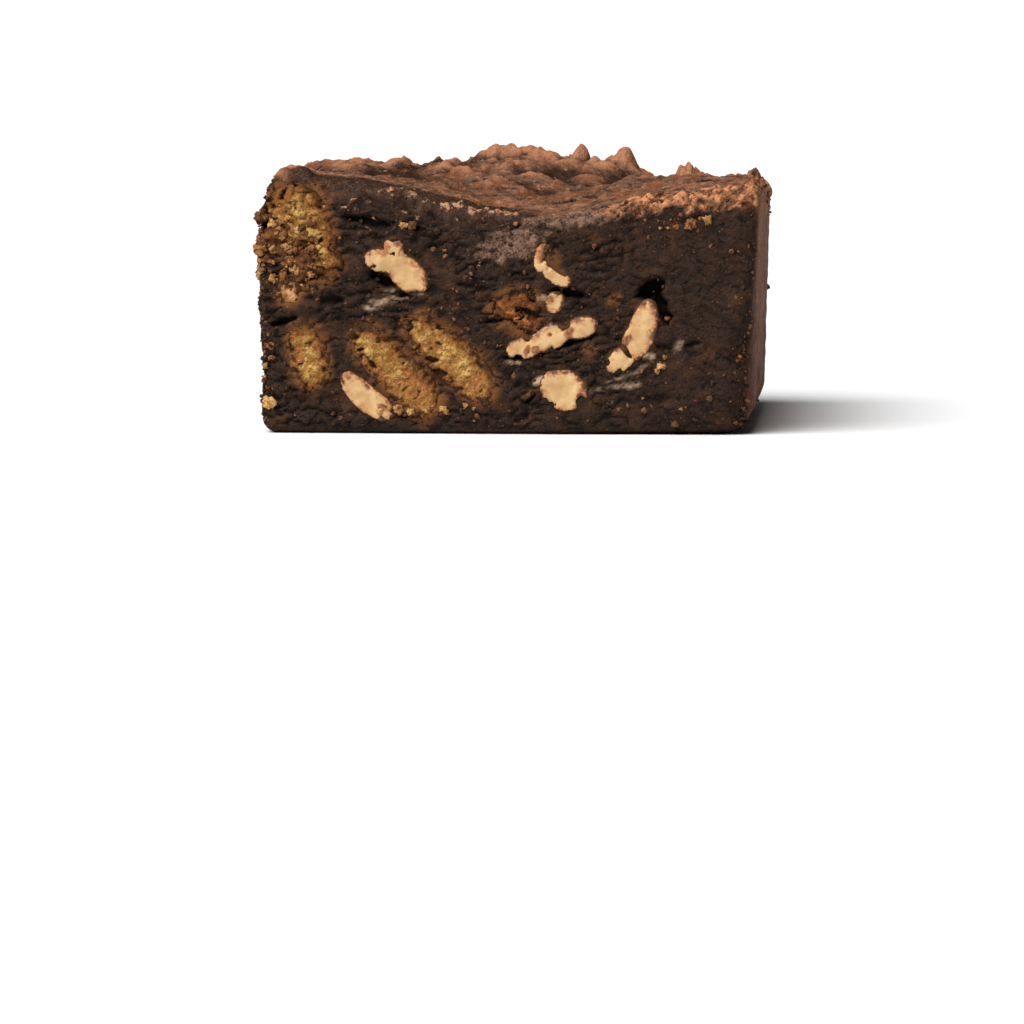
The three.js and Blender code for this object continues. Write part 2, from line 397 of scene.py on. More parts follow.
class Effects:
    """The node groups that several materials share."""

    def __init__(self) -> None:
        """Build each group once."""
        self.grain = self.build_grain()
        self.specks = self.build_specks()
        self.patches = self.build_patches()
        self.slots = self.build_slots()

    def build_grain(self) -> Tree:
        """Crumbly grain: rounded grains with finer roughness on them.

        Returns:
            A group that gives the grain's height and a light and dark shade.
        """
        inputs = {"Size": 0.5, "Rough": 0.5}
        board, given, sink, place, fine = new_group("Crumb Grain", inputs, "Height", "Shade")
        cells = board.add("TexVoronoi", {"Vector": place, "Scale": fine}, feature="SMOOTH_F1")
        board.feed(cells, "Smoothness", 0.25)
        wisps = board.noise(place, fine, 5.0, 0.65)
        grains = board.times(board.minus(1.0, cells.outputs["Distance"]), 0.6)
        height = board.sum(grains, board.times(wisps, given["Rough"]))
        board.feed(sink, "Height", height)
        # The shade rises with the same wisps that raise the height, so colour laid by it is partly random
        # tone and partly painted light on raised grain and painted shade in low grain.
        board.feed(sink, "Shade", board.ramp(wisps, 0.3, 0.7))
        return board.tree

    def build_specks(self) -> Tree:
        """Scattered specks of uneven outline.

        Returns:
            A group that gives a mask of the specks and a random number for each.
        """
        inputs = {"Size": 0.6, "Amount": 0.2}
        board, given, sink, place, fine = new_group("Specks", inputs, "Mask", "Draw")
        bent = board.bend(place, 2.6, 3.0, (0.7, 0.7, 0.7))
        cells = board.add("TexVoronoi", {"Vector": bent, "Scale": fine})
        draws = board.add("SeparateColor", {"Color": cells.outputs["Color"]})
        chosen = board.sum(draws.outputs["Red"], given["Amount"], "LESS_THAN")
        reach = board.ramp(draws.outputs["Blue"], 0.0, 1.0, 0.2, 0.5)
        inside = board.minus(reach, cells.outputs["Distance"])
        mask = board.times(chosen, board.ramp(inside, 0.0, 0.12))
        board.feed(sink, "Mask", mask)
        board.feed(sink, "Draw", draws.outputs["Green"])
        return board.tree

    def build_patches(self) -> Tree:
        """Soft uneven patches.

        Returns:
            A group that gives a mask, from 0 to 1, with a chosen share of cover.
        """
        inputs = {"Size": 4.0, "Cover": 0.5, "Soft": 0.1}
        board, given, sink, place, fine = new_group("Patches", inputs, "Mask")
        clouds = board.noise(place, fine, 4.0, 0.6)
        level = board.minus(1.0, given["Cover"])
        low, high = board.minus(level, given["Soft"]), board.sum(level, given["Soft"])
        board.feed(sink, "Mask", board.ramp(clouds, low, high))
        return board.tree

    def build_slots(self) -> Tree:
        """Short torn slots that lie nearly level, one under the other.

        Returns:
            A group that gives a mask of the slots and a height with sunken slots.
        """
        inputs = {"Size": 1.0, "Cover": 0.5}
        board, given, sink, place, fine = new_group("Torn Slots", inputs, "Mask", "Height")
        level = {"Rotation": (0.0, 0.16, 0.0), "Scale": (0.4, 0.4, 1.5)}
        turned = board.add("Mapping", {"Vector": board.bend(place, 0.5, 2.0, (2.0, 2.0, 2.6)), **level})
        layers = board.noise(turned.outputs["Vector"], fine, 4.0, 0.6)
        bare = board.minus(1.0, given["Cover"])
        chosen = board.ramp(board.minus(board.noise(place, 0.7, 2.0), bare), -0.06, 0.06)
        mask = board.times(board.ramp(layers, 0.43, 0.36), chosen)
        board.feed(sink, "Mask", mask)
        board.feed(sink, "Height", board.minus(0.0, mask))
        return board.tree


def start_material(name: str, plain: dict[str, object]) -> tuple[bpy.types.Material, Board, Node]:
    """Start a material.

    Args:
        name: The material's name.
        plain: What is the same all over, by the shader's input name.

    Returns:
        The material, its board and its shader node.
    """
    material = bpy.data.materials.new(name)
    material.use_nodes = True
    material.node_tree.nodes.clear()
    board = Board(material.node_tree)
    shader = board.add("BsdfPrincipled", plain)
    sink = board.add("OutputMaterial")
    board.feed(sink, "Surface", shader.outputs["BSDF"])
    return material, board, shader


def bump(board: Board, shader: Node, height: Socket, deep: float) -> None:
    """Feed a height of about 1 to the shader's normal. Deep is what 1 stands for, in millimetres."""
    node = board.add("Bump", {"Height": height, "Strength": 1.0, "Distance": deep * MM})
    board.feed(shader, "Normal", node.outputs["Normal"])


@dataclass(frozen=True)
class FudgeFinish:
    """Dark torn crumb on the cuts, brown crackled crust on top and a grooved skin where the tin was. Shade is
    painted into its slots, hollows and crevices, highlights onto its crests and a grey sheen onto patches of
    its cuts.
    """

    crumb: Colour = linear(32, 22, 16)
    crumb_light: Colour = linear(57, 38, 27)
    # A near-black brown, used as painted shade in the torn slots, the sunk hollows, the crevices and under
    # the white chunks.
    hollow: Colour = linear(15, 11, 8)
    toast: Colour = linear(134, 80, 50)
    gold: Colour = linear(170, 124, 70)
    soaked: Colour = linear(112, 70, 38)
    crust: Colour = linear(108, 80, 65)
    crust_warm: Colour = linear(128, 78, 50)
    # Painted highlight colour for raised grain and for the crests.
    crust_highlight: Colour = linear(182, 124, 90)
    # A dark crust brown, also used as painted shade in the dips, pores and low grain.
    crust_dark_and_shade: Colour = linear(42, 28, 20)
    lip: Colour = linear(42, 28, 20)
    lip_light: Colour = linear(78, 53, 39)
    # A paler grey that stands in for the gloss of moist patches: painted sheen.
    grey: Colour = linear(146, 112, 92)
    pale: Colour = linear(184, 152, 122)
    rim: Colour = linear(208, 140, 96)
    rim_dark: Colour = linear(88, 55, 37)
    thread: Colour = linear(182, 136, 104)
    skin: Colour = linear(106, 60, 34)
    skin_light: Colour = linear(164, 100, 58)

    def build(self, effects: Effects) -> bpy.types.Material:
        """Make the block's material.

        Args:
            effects: The shared node groups.

        Returns:
            The material.
        """
        material, board, shader = start_material("Fudge", {"Specular IOR Level": 0.1})
        grain = board.group(effects.grain, Size=0.3, Rough=0.9)
        coarse = board.group(effects.grain, Size=1.1, Rough=0.8)
        slots = board.group(effects.slots, Size=1.1, Cover=0.54)
        crumb = board.layers(
            self.crumb_colour(board, effects, grain.shade),
            # Painted shade in the torn slots.
            (board.times(slots.mask, 0.8), self.hollow),
            (board.mark("pale"), self.pale),
        )
        soft = board.sum(grain.shade, coarse.shade)
        # Painted sheen on the grey marks.
        painted_grey_sheen = board.blend(board.ramp(soft, 0.1, 1.8), self.lip, self.grey)
        colour = board.layers(
            crumb,
            (board.mark("crust"), self.crust_colour(board, effects, grain.shade, coarse.shade)),
            (board.mark("tin"), self.skin_colour(board, effects, grain.shade)),
            (board.mark("grey"), painted_grey_sheen),
        )
        # Lighter on raised grain: partly random tone, partly painted light.
        lit = board.sum(coarse.shade, board.times(grain.shade, 0.5))
        colour = self.add_rim(board, effects, lit, colour)
        # Painted shade from the block's mark: hollows, crevices, slots and the places under white chunks are
        # darkened.
        colour = board.blend(board.mark("hollow"), colour, self.hollow)
        board.feed(shader, "Base Color", colour)
        dull = board.ramp(board.mark("lip"), 0.0, 1.0, 0.66, 0.5)
        sheen = board.ramp(grain.shade, 0.0, 1.0, 0.06, -0.1)
        board.feed(shader, "Roughness", board.sum(dull, sheen))
        torn = board.times(slots.height, board.minus(1.0, board.mark("crust")))
        flaky = board.ramp(board.mark("crust"), 0.0, 1.0, 0.8, 2.2)
        rough = board.sum(grain.height, board.times(coarse.height, flaky))
        bump(board, shader, board.sum(rough, torn), 0.14)
        return material

    def add_rim(self, board: Board, effects: Effects, lit: Socket, colour: Socket) -> Socket:
        """Lay the torn edge of the crust over a colour: terracotta crumb and a thin pale ridge.

        Args:
            board: The material's board.
            effects: The shared node groups.
            lit: Both grains' shades together.
            colour: What lies under it.

        Returns:
            The colour with the edge.
        """
        ragged = board.times(board.minus(lit, 0.75), 0.7)
        specks = board.group(effects.specks, Size=0.34, Amount=0.4)
        pale = board.times(specks.mask, specks.draw)
        rim = board.blend(board.ramp(board.sum(lit, board.mark("bit")), 0.6, 1.8), self.rim_dark, self.rim)
        beige = board.blend(board.ramp(lit, 0.35, 1.25), self.rim_dark, self.thread)
        return board.layers(
            colour,
            (board.mark("rim"), rim),
            (board.ramp(board.sum(board.mark("torn"), ragged), 0.6, 1.15), beige),
            (board.times(pale, board.mark("fringe")), self.thread),
        )

    def crumb_colour(self, board: Board, effects: Effects, shade: Socket) -> Socket:
        """Colour the torn cuts, with small toasted crumbs that lie thickest where the mesh is crumbly.

        Args:
            board: The material's board.
            effects: The shared node groups.
            shade: The fine grain's shade.

        Returns:
            The crumb's colour.
        """
        tint = board.group(effects.patches, Size=3.2, Cover=0.4, Soft=0.12)
        colour = board.layers(
            # Lighter on raised grain: partly random tone, partly painted light.
            board.blend(shade, self.crumb, self.crumb_light),
            (board.times(tint.mask, 0.22), self.soaked),
            (board.mark("soak"), self.soaked),
        )
        for size, few, many, tone in ((0.42, 0.03, 0.3, self.toast), (0.7, 0.008, 0.2, self.gold)):
            amount = board.ramp(board.mark("crumbly"), 0.0, 1.0, few, many)
            specks = board.group(effects.specks, Size=size, Amount=amount)
            strength = board.ramp(specks.draw, 0.0, 1.0, 0.2, 0.8)
            colour = board.blend(board.times(specks.mask, strength), colour, tone)
        return colour

    def crust_colour(self, board: Board, effects: Effects, shade: Socket, coarse: Socket) -> Socket:
        """Colour the top: grey and orange browns, painted shade in the dips, painted highlights on the
        crests, pale grains and a dark lip at the front.

        Args:
            board: The material's board.
            effects: The shared node groups.
            shade: The fine grain's shade.
            coarse: The coarse grain's shade.

        Returns:
            The crust's colour.
        """
        streaks = board.noise(board.place((0.3, 0.7, 0.7)), 0.7, 6.0, 0.7)
        warm = board.group(effects.patches, Size=3.4, Cover=0.5, Soft=0.06)
        grains = board.group(effects.specks, Size=0.7, Amount=0.22)
        toasted = board.group(effects.specks, Size=0.4, Amount=0.16)
        specks = board.group(effects.specks, Size=0.5, Amount=0.02)
        # Lighter on raised grain: partly random tone, partly painted light.
        lip = board.blend(board.ramp(shade, 0.3, 0.9), self.lip, self.lip_light)
        strength = board.ramp(toasted.draw, 0.2, 1.0, 0.1, 0.7)
        return board.layers(
            board.blend(board.ramp(streaks, 0.38, 0.56), self.crust_dark_and_shade, self.crust),
            (board.times(warm.mask, 0.7), self.crust_warm),
            # Painted highlights on raised coarse grain and on the crests, painted shade in the dips.
            (board.ramp(coarse, 0.5, 1.0, 0.0, 0.5), self.crust_highlight),
            (board.times(board.mark("crest"), 0.8), self.crust_highlight),
            (board.times(board.mark("dip"), 0.92), self.crust_dark_and_shade),
            # Painted shade in low grain.
            (board.ramp(shade, 0.0, 0.5, 0.5, 0.0), self.crust_dark_and_shade),
            (board.times(grains.mask, board.ramp(grains.draw, 0.3, 1.0, 0.0, 0.6)), self.thread),
            (board.mark("lip"), board.blend(board.times(toasted.mask, strength), lip, self.toast)),
            (board.times(specks.mask, 0.7), self.gold),
        )

    def skin_colour(self, board: Board, effects: Effects, shade: Socket) -> Socket:
        """Colour the tin's side with faint upright streaks and painted shade in its pores, darkest next to
        the front cut.

        Args:
            board: The material's board.
            effects: The shared node groups.
            shade: The fine grain's shade.

        Returns:
            The skin's colour.
        """
        streaks = board.noise(board.place((0.8, 0.8, 0.16)), 0.7, 5.0, 0.65)
        baked = board.group(effects.patches, Size=9.0, Cover=0.4, Soft=0.16)
        pores = board.group(effects.specks, Size=0.7, Amount=0.16)
        along = board.add("SeparateXYZ", {"Vector": board.place()}).outputs["Y"]
        return board.layers(
            board.blend(board.ramp(streaks, 0.34, 0.68), self.skin, self.skin_light),
            (board.times(baked.mask, 0.55), self.crust_dark_and_shade),
            # Painted shade in the pores.
            (board.times(pores.mask, 0.6), self.crust_dark_and_shade),
            (board.ramp(along, -32.0, -22.0, 0.75, 0.0), self.crust_dark_and_shade),
            # Painted shade in low grain.
            (board.ramp(shade, 0.5, 0.1, 0.0, 0.6), self.crust_dark_and_shade),
        )


@dataclass(frozen=True)
class BiscuitFinish:
    """Porous biscuit: pale and golden clumps, soaked dark along its edge, with painted shade in its pores,
    crevices and pits.
    """

    name: str
    inside: Colour
    pale: Colour
    pink: Colour
    soaked: Colour
    # The dark soaked edge colour, also used as painted shade in pores, crevices, pits and hollows.
    edge: Colour
    soak_wide: float = 1.15

    def build(self, effects: Effects) -> bpy.types.Material:
        """Make a biscuit material.

        Args:
            effects: The shared node groups.

        Returns:
            The material.
        """
        plain = {"Roughness": 0.9, "Specular IOR Level": 0.1}
        material, board, shader = start_material(self.name, plain)
        grain = board.group(effects.grain, Size=0.26, Rough=0.9)
        coarse = board.group(effects.grain, Size=0.8, Rough=0.8)
        stain = board.group(effects.patches, Size=2.4, Cover=0.44, Soft=0.1)
        pores = board.group(effects.specks, Size=0.3, Amount=0.3)
        wander = board.ramp(coarse.shade, 0.0, 1.0, -0.3, 0.3)
        inward = board.sum(board.sum(board.mark("edge"), wander), 0.1)
        wide = board.ramp(board.mark("upper"), 0.0, 1.0, 0.6 * self.soak_wide, 1.2 * self.soak_wide)
        depth = board.sum(inward, wide, "DIVIDE")
        colour = board.layers(
            board.blend(board.mark("tone"), self.soaked, self.inside),
            (board.ramp(board.mark("tone"), 0.6, 1.0), self.pale),
            (board.times(stain.mask, 0.6), self.soaked),
            (board.times(board.mark("pink"), 0.6), self.pink),
            # Paler on raised grain and soaked colour in low grain: partly random tone, partly painted light
            # and shade.
            (board.ramp(grain.shade, 0.6, 1.0, 0.0, 0.45), self.pale),
            (board.ramp(grain.shade, 0.45, 0.0, 0.0, 0.6), self.soaked),
            (board.ramp(depth, 1.1, 0.2, 0.0, 0.9), self.soaked),
            (board.ramp(depth, 0.45, -0.15), self.edge),
            (board.times(board.mark("smudge"), 0.85), self.soaked),
            # Painted shade in the pores, the crevices and pits, and the hollow marks.
            (board.times(pores.mask, 0.55), self.edge),
            (board.mark("deep"), self.edge),
            (board.mark("hollow"), self.edge),
        )
        board.feed(shader, "Base Color", colour)
        height = board.sum(grain.height, board.times(coarse.height, 1.2))
        bump(board, shader, height, 0.2)
        return material


@dataclass(frozen=True)
class WhiteFinish:
    """Waxy white chocolate with fine brown specks and a smudged edge."""

    ivory: Colour = linear(188, 147, 97)
    cream: Colour = linear(208, 173, 123)
    pink: Colour = linear(172, 114, 72)
    speck: Colour = linear(120, 68, 42)
    smudge: Colour = linear(78, 46, 28)

    def build(self, effects: Effects) -> bpy.types.Material:
        """Make the white chocolate material.

        Args:
            effects: The shared node groups.

        Returns:
            The material.
        """
        plain = {
            "Roughness": 0.5,
            "Specular IOR Level": 0.3,
            "Subsurface Weight": 0.12,
            "Subsurface Radius": (0.001, 0.0007, 0.0004),
            "Subsurface Scale": 1.0,
        }
        material, board, shader = start_material("White Chocolate", plain)
        clouds = board.group(effects.patches, Size=2.6, Cover=0.5, Soft=0.2)
        blots = board.group(effects.patches, Size=1.4, Cover=0.45, Soft=0.12)
        grain = board.group(effects.grain, Size=0.5, Rough=0.6)
        specks = board.group(effects.specks, Size=0.4, Amount=0.035)
        wander = board.ramp(grain.shade, 0.0, 1.0, -0.12, 0.12)
        inward = board.sum(board.sum(board.mark("edge"), wander), 0.42)
        wide = board.ramp(board.mark("upper"), 0.0, 1.0, 0.3, 0.75)
        wide = board.times(wide, board.ramp(blots.mask, 0.0, 1.0, 0.6, 1.5))
        depth = board.sum(inward, wide, "DIVIDE")
        veil = board.ramp(blots.mask, 0.0, 1.0, 0.1, 0.7)
        torn = board.sum(board.mark("smudge"), board.times(wander, 1.6))
        colour = board.layers(
            board.blend(clouds.mask, self.ivory, self.cream),
            (board.times(board.ramp(inward, 1.5, 0.3), veil), self.pink),
            (board.times(specks.mask, 0.5), self.speck),
            (board.ramp(depth, 1.3, 0.5), self.pink),
            (board.ramp(depth, 0.8, 0.15), self.smudge),
            (board.ramp(torn, 0.1, 0.5), self.pink),
            (board.ramp(torn, 0.4, 1.0, 0.0, 0.8), self.smudge),
            # Painted shade on the hollow marks, in the smudge colour.
            (board.mark("hollow"), self.smudge),
        )
        board.feed(shader, "Base Color", colour)
        bump(board, shader, grain.height, 0.06)
        return material


@dataclass(frozen=True)
class CrumbFinish:
    """Loose crumb in tones that run from deep to pale."""

    name: str
    deep: Colour
    tone: Colour
    pale: Colour

    def build(self, effects: Effects) -> bpy.types.Material:
        """Make a crumb material.

        Args:
            effects: The shared node groups.

        Returns:
            The material.
        """
        plain = {"Roughness": 0.8, "Specular IOR Level": 0.15}
        material, board, shader = start_material(self.name, plain)
        grain = board.group(effects.grain, Size=0.25, Rough=0.8)
        colour = board.layers(
            board.blend(board.ramp(board.mark("draw"), 0.0, 0.5), self.deep, self.tone),
            (board.ramp(board.mark("draw"), 0.5, 1.0), self.pale),
            # Darker in low grain: partly random tone, partly painted shade.
            (board.ramp(grain.shade, 0.6, 0.0, 0.0, 0.75), self.deep),
        )
        board.feed(shader, "Base Color", colour)
        bump(board, shader, grain.height, 0.1)
        return material


GOLDEN_CRUMB = CrumbFinish("Golden Crumb", linear(88, 54, 32), linear(142, 92, 54), linear(204, 158, 96))
TOASTED_CRUMB = CrumbFinish("Toasted Crumb", linear(70, 44, 31), linear(112, 72, 48), linear(160, 106, 72))
FUDGE_CRUMB = CrumbFinish("Fudge Crumb", linear(40, 27, 20), linear(70, 47, 34), linear(112, 74, 50))
GOLDEN_BISCUIT = BiscuitFinish(
    "Golden Biscuit",
    linear(164, 120, 60),
    linear(206, 168, 100),
    linear(172, 108, 66),
    linear(134, 84, 42),
    linear(66, 42, 26),
)
TAN_BISCUIT = BiscuitFinish(
    "Tan Biscuit",
    linear(176, 124, 80),
    linear(200, 152, 104),
    linear(176, 112, 76),
    linear(140, 90, 54),
    linear(66, 42, 26),
    0.35,
)
DARK_BISCUIT = BiscuitFinish(
    "Dark Biscuit",
    linear(134, 78, 40),
    linear(186, 116, 64),
    linear(146, 80, 46),
    linear(88, 52, 30),
    linear(40, 26, 19),
    0.6,
)


# The block


class Side(Enum):
    """An upright cut side, by the direction it faces."""

    FRONT = (0.0, -1.0, 0.0)
    BACK = (0.0, 1.0, 0.0)
    LEFT = (-1.0, 0.0, 0.0)

    @property
    def outward(self) -> np.ndarray:
        """The way the side faces."""
        return np.array(self.value)

    @property
    def rightward(self) -> np.ndarray:
        """To the right for someone who looks at the side."""
        return np.cross(np.array([0.0, 0.0, 1.0]), self.outward)


class MarkKind(Enum):
    """What a mark on a cut side does there."""

    # Hollow marks sink the surface and are also painted with shade.
    HOLLOW = "hollow"
    PALE = "pale"
    # Grey marks are painted sheen and also calm the relief.
    GREY = "grey"
    CRUMBLY = "crumbly"
    SMUDGE = "smudge"
    COVER = "cover"
    STAIN = "stain"


@dataclass(frozen=True)
class Mark:
    """A soft oval mark on a side: its middle, half sizes and lean, and how strong or deep it is."""

    kind: MarkKind
    side: Side
    across: float
    up: float
    long: float
    wide: float
    lean: float
    strength: float

    def mask(self, points: np.ndarray, facing: np.ndarray, ragged: np.ndarray) -> np.ndarray:
        """How strongly each point is marked.

        Args:
            points: Places in millimetres.
            facing: The way the surface faces there.
            ragged: How far the outline wanders there.

        Returns:
            Numbers from 0 to 1.
        """
        across = points @ self.side.rightward - self.across
        up = points[:, 2] - self.up
        turn = math.radians(self.lean)
        along = (across * math.cos(turn) + up * math.sin(turn)) / self.long
        over = (up * math.cos(turn) - across * math.sin(turn)) / self.wide
        shape = smooth(1.25 - np.hypot(along, over) + ragged, 0.0, 0.6)
        return shape * smooth(facing @ self.side.outward, 0.3, 0.7)


# For each kind and side: across, up, half long, half wide, lean in degrees, strength
MARK_TABLE = {
    (MarkKind.HOLLOW, Side.FRONT): (
        (20.4, 20.7, 1.9, 1.2, 25, 3.4), (22.0, 18.3, 2.2, 0.8, -68, 3.0),
        (-17.6, 21.9, 2.0, 0.8, -28, 1.5), (-13.9, 19.9, 1.6, 0.45, 12, 1.3),
        (8.8, 20.2, 2.7, 0.65, -8, 1.5), (9.8, 13.2, 2.8, 0.32, 20, 1.3), (5.4, 11.7, 1.5, 0.3, 34, 1.2),
        (1.4, 10.9, 2.4, 0.3, -4, 1.2), (26.6, 13.0, 1.5, 0.4, 14, 0.8), (23.0, 12.2, 1.6, 0.5, -12, 0.7),
        (21.8, 5.2, 1.9, 0.6, 0, 0.6), (3.2, 17.4, 1.6, 0.4, -24, 1.3), (-1.4, 16.2, 1.4, 0.35, 10, 1.2),
        (3.6, 5.2, 1.2, 0.3, 44, 1.2), (-10.3, 10.6, 1.0, 0.32, -12, 1.1), (-9.2, 8.9, 1.2, 0.4, -20, 1.2),
        (-20.6, 12.0, 0.7, 0.3, 10, 0.9), (-19.0, 9.9, 0.8, 0.35, -50, 0.9),
        (-31.6, 16.0, 2.4, 0.45, 14, 1.2), (-31.4, 22.9, 1.8, 0.7, 20, 0.6),
        (-34.0, 29.4, 1.2, 0.5, 60, 0.6), (-28.6, 27.0, 1.3, 0.6, -10, 0.7),
        (-27.2, 22.4, 1.6, 0.5, 14, 0.7), (-24.4, 18.9, 1.8, 0.6, 10, 0.9),
        (-19.4, 30.2, 3.4, 0.6, -8, 1.3), (-13.0, 29.4, 2.0, 0.5, -12, 1.0),
        (26.4, 30.6, 2.4, 0.4, 12, 0.5),
    ),
    (MarkKind.HOLLOW, Side.BACK): (
        (-16.0, 26.0, 2.2, 1.0, 20, 2.4), (12.0, 13.6, 2.4, 0.5, -18, 1.4), (-24.0, 9.0, 2.6, 0.5, 12, 1.3),
    ),
    (MarkKind.HOLLOW, Side.LEFT): (
        (6.0, 17.4, 2.4, 0.9, 34, 2.2), (-12.0, 6.6, 2.2, 0.5, 8, 1.3),
    ),
    (MarkKind.PALE, Side.FRONT): (
        (-18.9, 18.3, 1.3, 0.7, 14, 1.0), (-16.8, 19.0, 1.9, 0.5, 22, 0.7),
        (-14.6, 19.5, 1.9, 0.4, 20, 0.8), (-12.4, 20.4, 0.9, 0.6, 30, 0.9),
        (-16.4, 20.3, 1.1, 0.35, 10, 0.6), (5.0, 19.4, 0.9, 0.5, 0, 0.6), (4.8, 15.2, 0.9, 0.6, 0, 0.5),
        (6.2, 15.7, 0.8, 0.3, 86, 0.6), (20.2, 11.3, 1.0, 0.6, -20, 0.9), (4.0, 12.3, 1.2, 0.3, 20, 0.6),
        (1.2, 10.3, 1.3, 0.45, -12, 0.6), (14.2, 6.6, 3.4, 0.3, 12, 0.4), (16.8, 8.3, 2.6, 0.25, 16, 0.4),
        (19.4, 9.6, 1.5, 0.3, 30, 0.5), (24.4, 12.7, 1.0, 0.6, 40, 0.8), (17.4, 7.0, 1.9, 0.5, 8, 0.7),
        (4.8, 7.7, 1.3, 0.5, 34, 1.3),
    ),
    (MarkKind.PALE, Side.BACK): (
        (10.4, 15.2, 2.4, 0.4, -12, 0.5),
    ),
    (MarkKind.PALE, Side.LEFT): (
        (-2.0, 12.6, 2.0, 0.4, 20, 0.5),
    ),
    (MarkKind.GREY, Side.FRONT): (
        (0.6, 27.0, 5.0, 2.2, 14, 0.9), (9.0, 30.8, 7.5, 1.5, 5, 0.8),
    ),
    (MarkKind.GREY, Side.BACK): (
        (4.0, 30.0, 6.0, 1.6, 0, 0.7),
    ),
    (MarkKind.CRUMBLY, Side.FRONT): (
        (-30.0, 25.4, 5.6, 6.0, 0, 1.0), (-29.4, 29.4, 4.4, 3.6, -50, 0.8),
        (-19.0, 29.6, 7.0, 1.4, -6, 0.45), (-34.2, 8.0, 1.2, 9.0, 0, 0.5), (24.0, 30.2, 5.5, 1.0, 8, 0.65),
        (-12.0, 3.0, 8.0, 1.4, 0, 0.4), (20.4, 9.0, 3.6, 2.2, 30, 0.25),
    ),
    (MarkKind.CRUMBLY, Side.LEFT): (
        (27.0, 26.0, 6.0, 8.0, 0, 0.9), (-26.0, 18.0, 5.0, 9.0, 0, 0.4),
    ),
    (MarkKind.CRUMBLY, Side.BACK): (
        (-20.0, 28.0, 9.0, 2.0, 0, 0.5), (26.0, 18.0, 4.0, 9.0, 0, 0.4),
    ),
    (MarkKind.COVER, Side.FRONT): (
        (17.1, 16.9, 2.9, 1.1, 70, 1.0), (16.9, 12.0, 1.5, 0.34, -50, 1.0), (13.8, 10.4, 2.0, 0.8, 70, 1.0),
        (15.6, 8.6, 1.4, 0.5, 30, 1.0), (8.2, 15.8, 0.8, 0.9, 0, 1.0), (3.1, 14.0, 0.6, 0.8, 0, 1.0),
        (1.5, 10.7, 1.9, 0.5, 0, 1.0), (10.5, 13.4, 1.8, 0.5, 8, 1.0), (6.9, 25.2, 1.6, 1.5, 90, 1.0),
        (7.5, 23.6, 1.8, 0.6, -32, 1.0), (3.4, 24.9, 1.8, 0.5, 84, 1.0), (4.7, 27.4, 1.2, 0.6, 10, 1.0),
        (5.4, 4.2, 2.8, 0.9, -24, 1.0), (4.7, 8.5, 1.5, 0.5, 42, 1.0), (11.0, 4.4, 0.9, 1.0, 40, 1.0),
        (10.6, 8.6, 1.0, 0.5, -40, 1.0), (5.2, 18.0, 0.9, 0.4, 90, 1.0), (-16.6, 28.1, 1.6, 0.7, 0, 1.0),
        (-18.2, 27.2, 0.9, 0.7, 90, 1.0), (-20.8, 24.6, 1.4, 0.6, 90, 1.0),
        (-14.8, 20.0, 2.0, 0.5, -10, 1.0), (-33.2, 27.4, 3.4, 1.7, 82, 1.0),
        (-30.0, 24.0, 2.8, 2.4, 10, 1.0), (-26.0, 22.4, 2.8, 1.2, 0, 1.0),
    ),
    (MarkKind.STAIN, Side.FRONT): (
        (-32.4, 34.4, 2.8, 1.6, 40, 0.9), (-28.6, 27.6, 3.6, 2.0, -50, 0.6),
        (6.8, 24.6, 1.9, 1.2, 110, 0.7), (3.6, 5.9, 1.4, 0.5, 30, 0.9), (15.4, 19.2, 1.4, 1.0, 30, 0.9),
        (11.8, 12.2, 1.1, 1.1, 0, 0.7), (1.6, 15.2, 3.2, 1.4, -20, 0.8),
    ),
    (MarkKind.SMUDGE, Side.FRONT): (
        (-31.8, 34.2, 2.8, 1.2, 10, 0.9), (-26.6, 31.4, 2.0, 1.2, -40, 0.8),
        (-28.2, 13.6, 1.6, 1.0, -40, 0.6), (-30.6, 8.6, 0.9, 2.4, 10, 0.5),
        (-31.0, 29.4, 1.6, 1.0, -50, 0.7), (-17.3, 26.3, 1.2, 0.9, 30, 0.6),
        (-15.5, 27.0, 0.5, 0.5, 0, 0.8), (5.5, 26.0, 1.5, 0.8, 62, 0.8), (3.0, 11.9, 0.9, 0.4, 70, 0.85),
        (6.2, 14.2, 0.4, 0.35, 0, 0.9), (4.3, 12.1, 0.7, 0.5, 20, 0.7), (9.0, 14.5, 0.9, 0.6, 60, 0.75),
        (17.2, 13.4, 1.3, 0.5, 55, 0.85), (10.6, 5.6, 0.6, 0.5, 20, 0.85),
        (-17.5, 3.8, 1.0, 0.55, -28, 0.8), (-22.6, 8.3, 0.7, 0.4, -50, 0.6), (6.3, 19.3, 0.7, 0.5, 0, 0.8),
    ),
    (MarkKind.SMUDGE, Side.BACK): (
        (-4.0, 20.0, 2.0, 0.8, 20, 0.6),
    ),
    (MarkKind.SMUDGE, Side.LEFT): (
        (4.0, 12.0, 2.0, 0.8, 20, 0.6),
    ),
}
MARKS = tuple(Mark(*where, *sizes) for where, rows in MARK_TABLE.items() for sizes in rows)


def gather_marks(points: np.ndarray, facing: np.ndarray) -> dict[MarkKind, np.ndarray]:
    """Lay every mark on a surface.

    Args:
        points: Places in millimetres.
        facing: The way the surface faces there.

    Returns:
        The strongest mark of each kind at each point.
    """
    found = {kind: np.zeros(len(points)) for kind in MarkKind}
    ragged = 0.3 * grit(points, 1.3, 41.0) + 0.25 * grit(points, 0.6, 43.0)
    for mark in MARKS:
        found[mark.kind] = np.maximum(found[mark.kind], mark.mask(points, facing, ragged) * mark.strength)
    return found


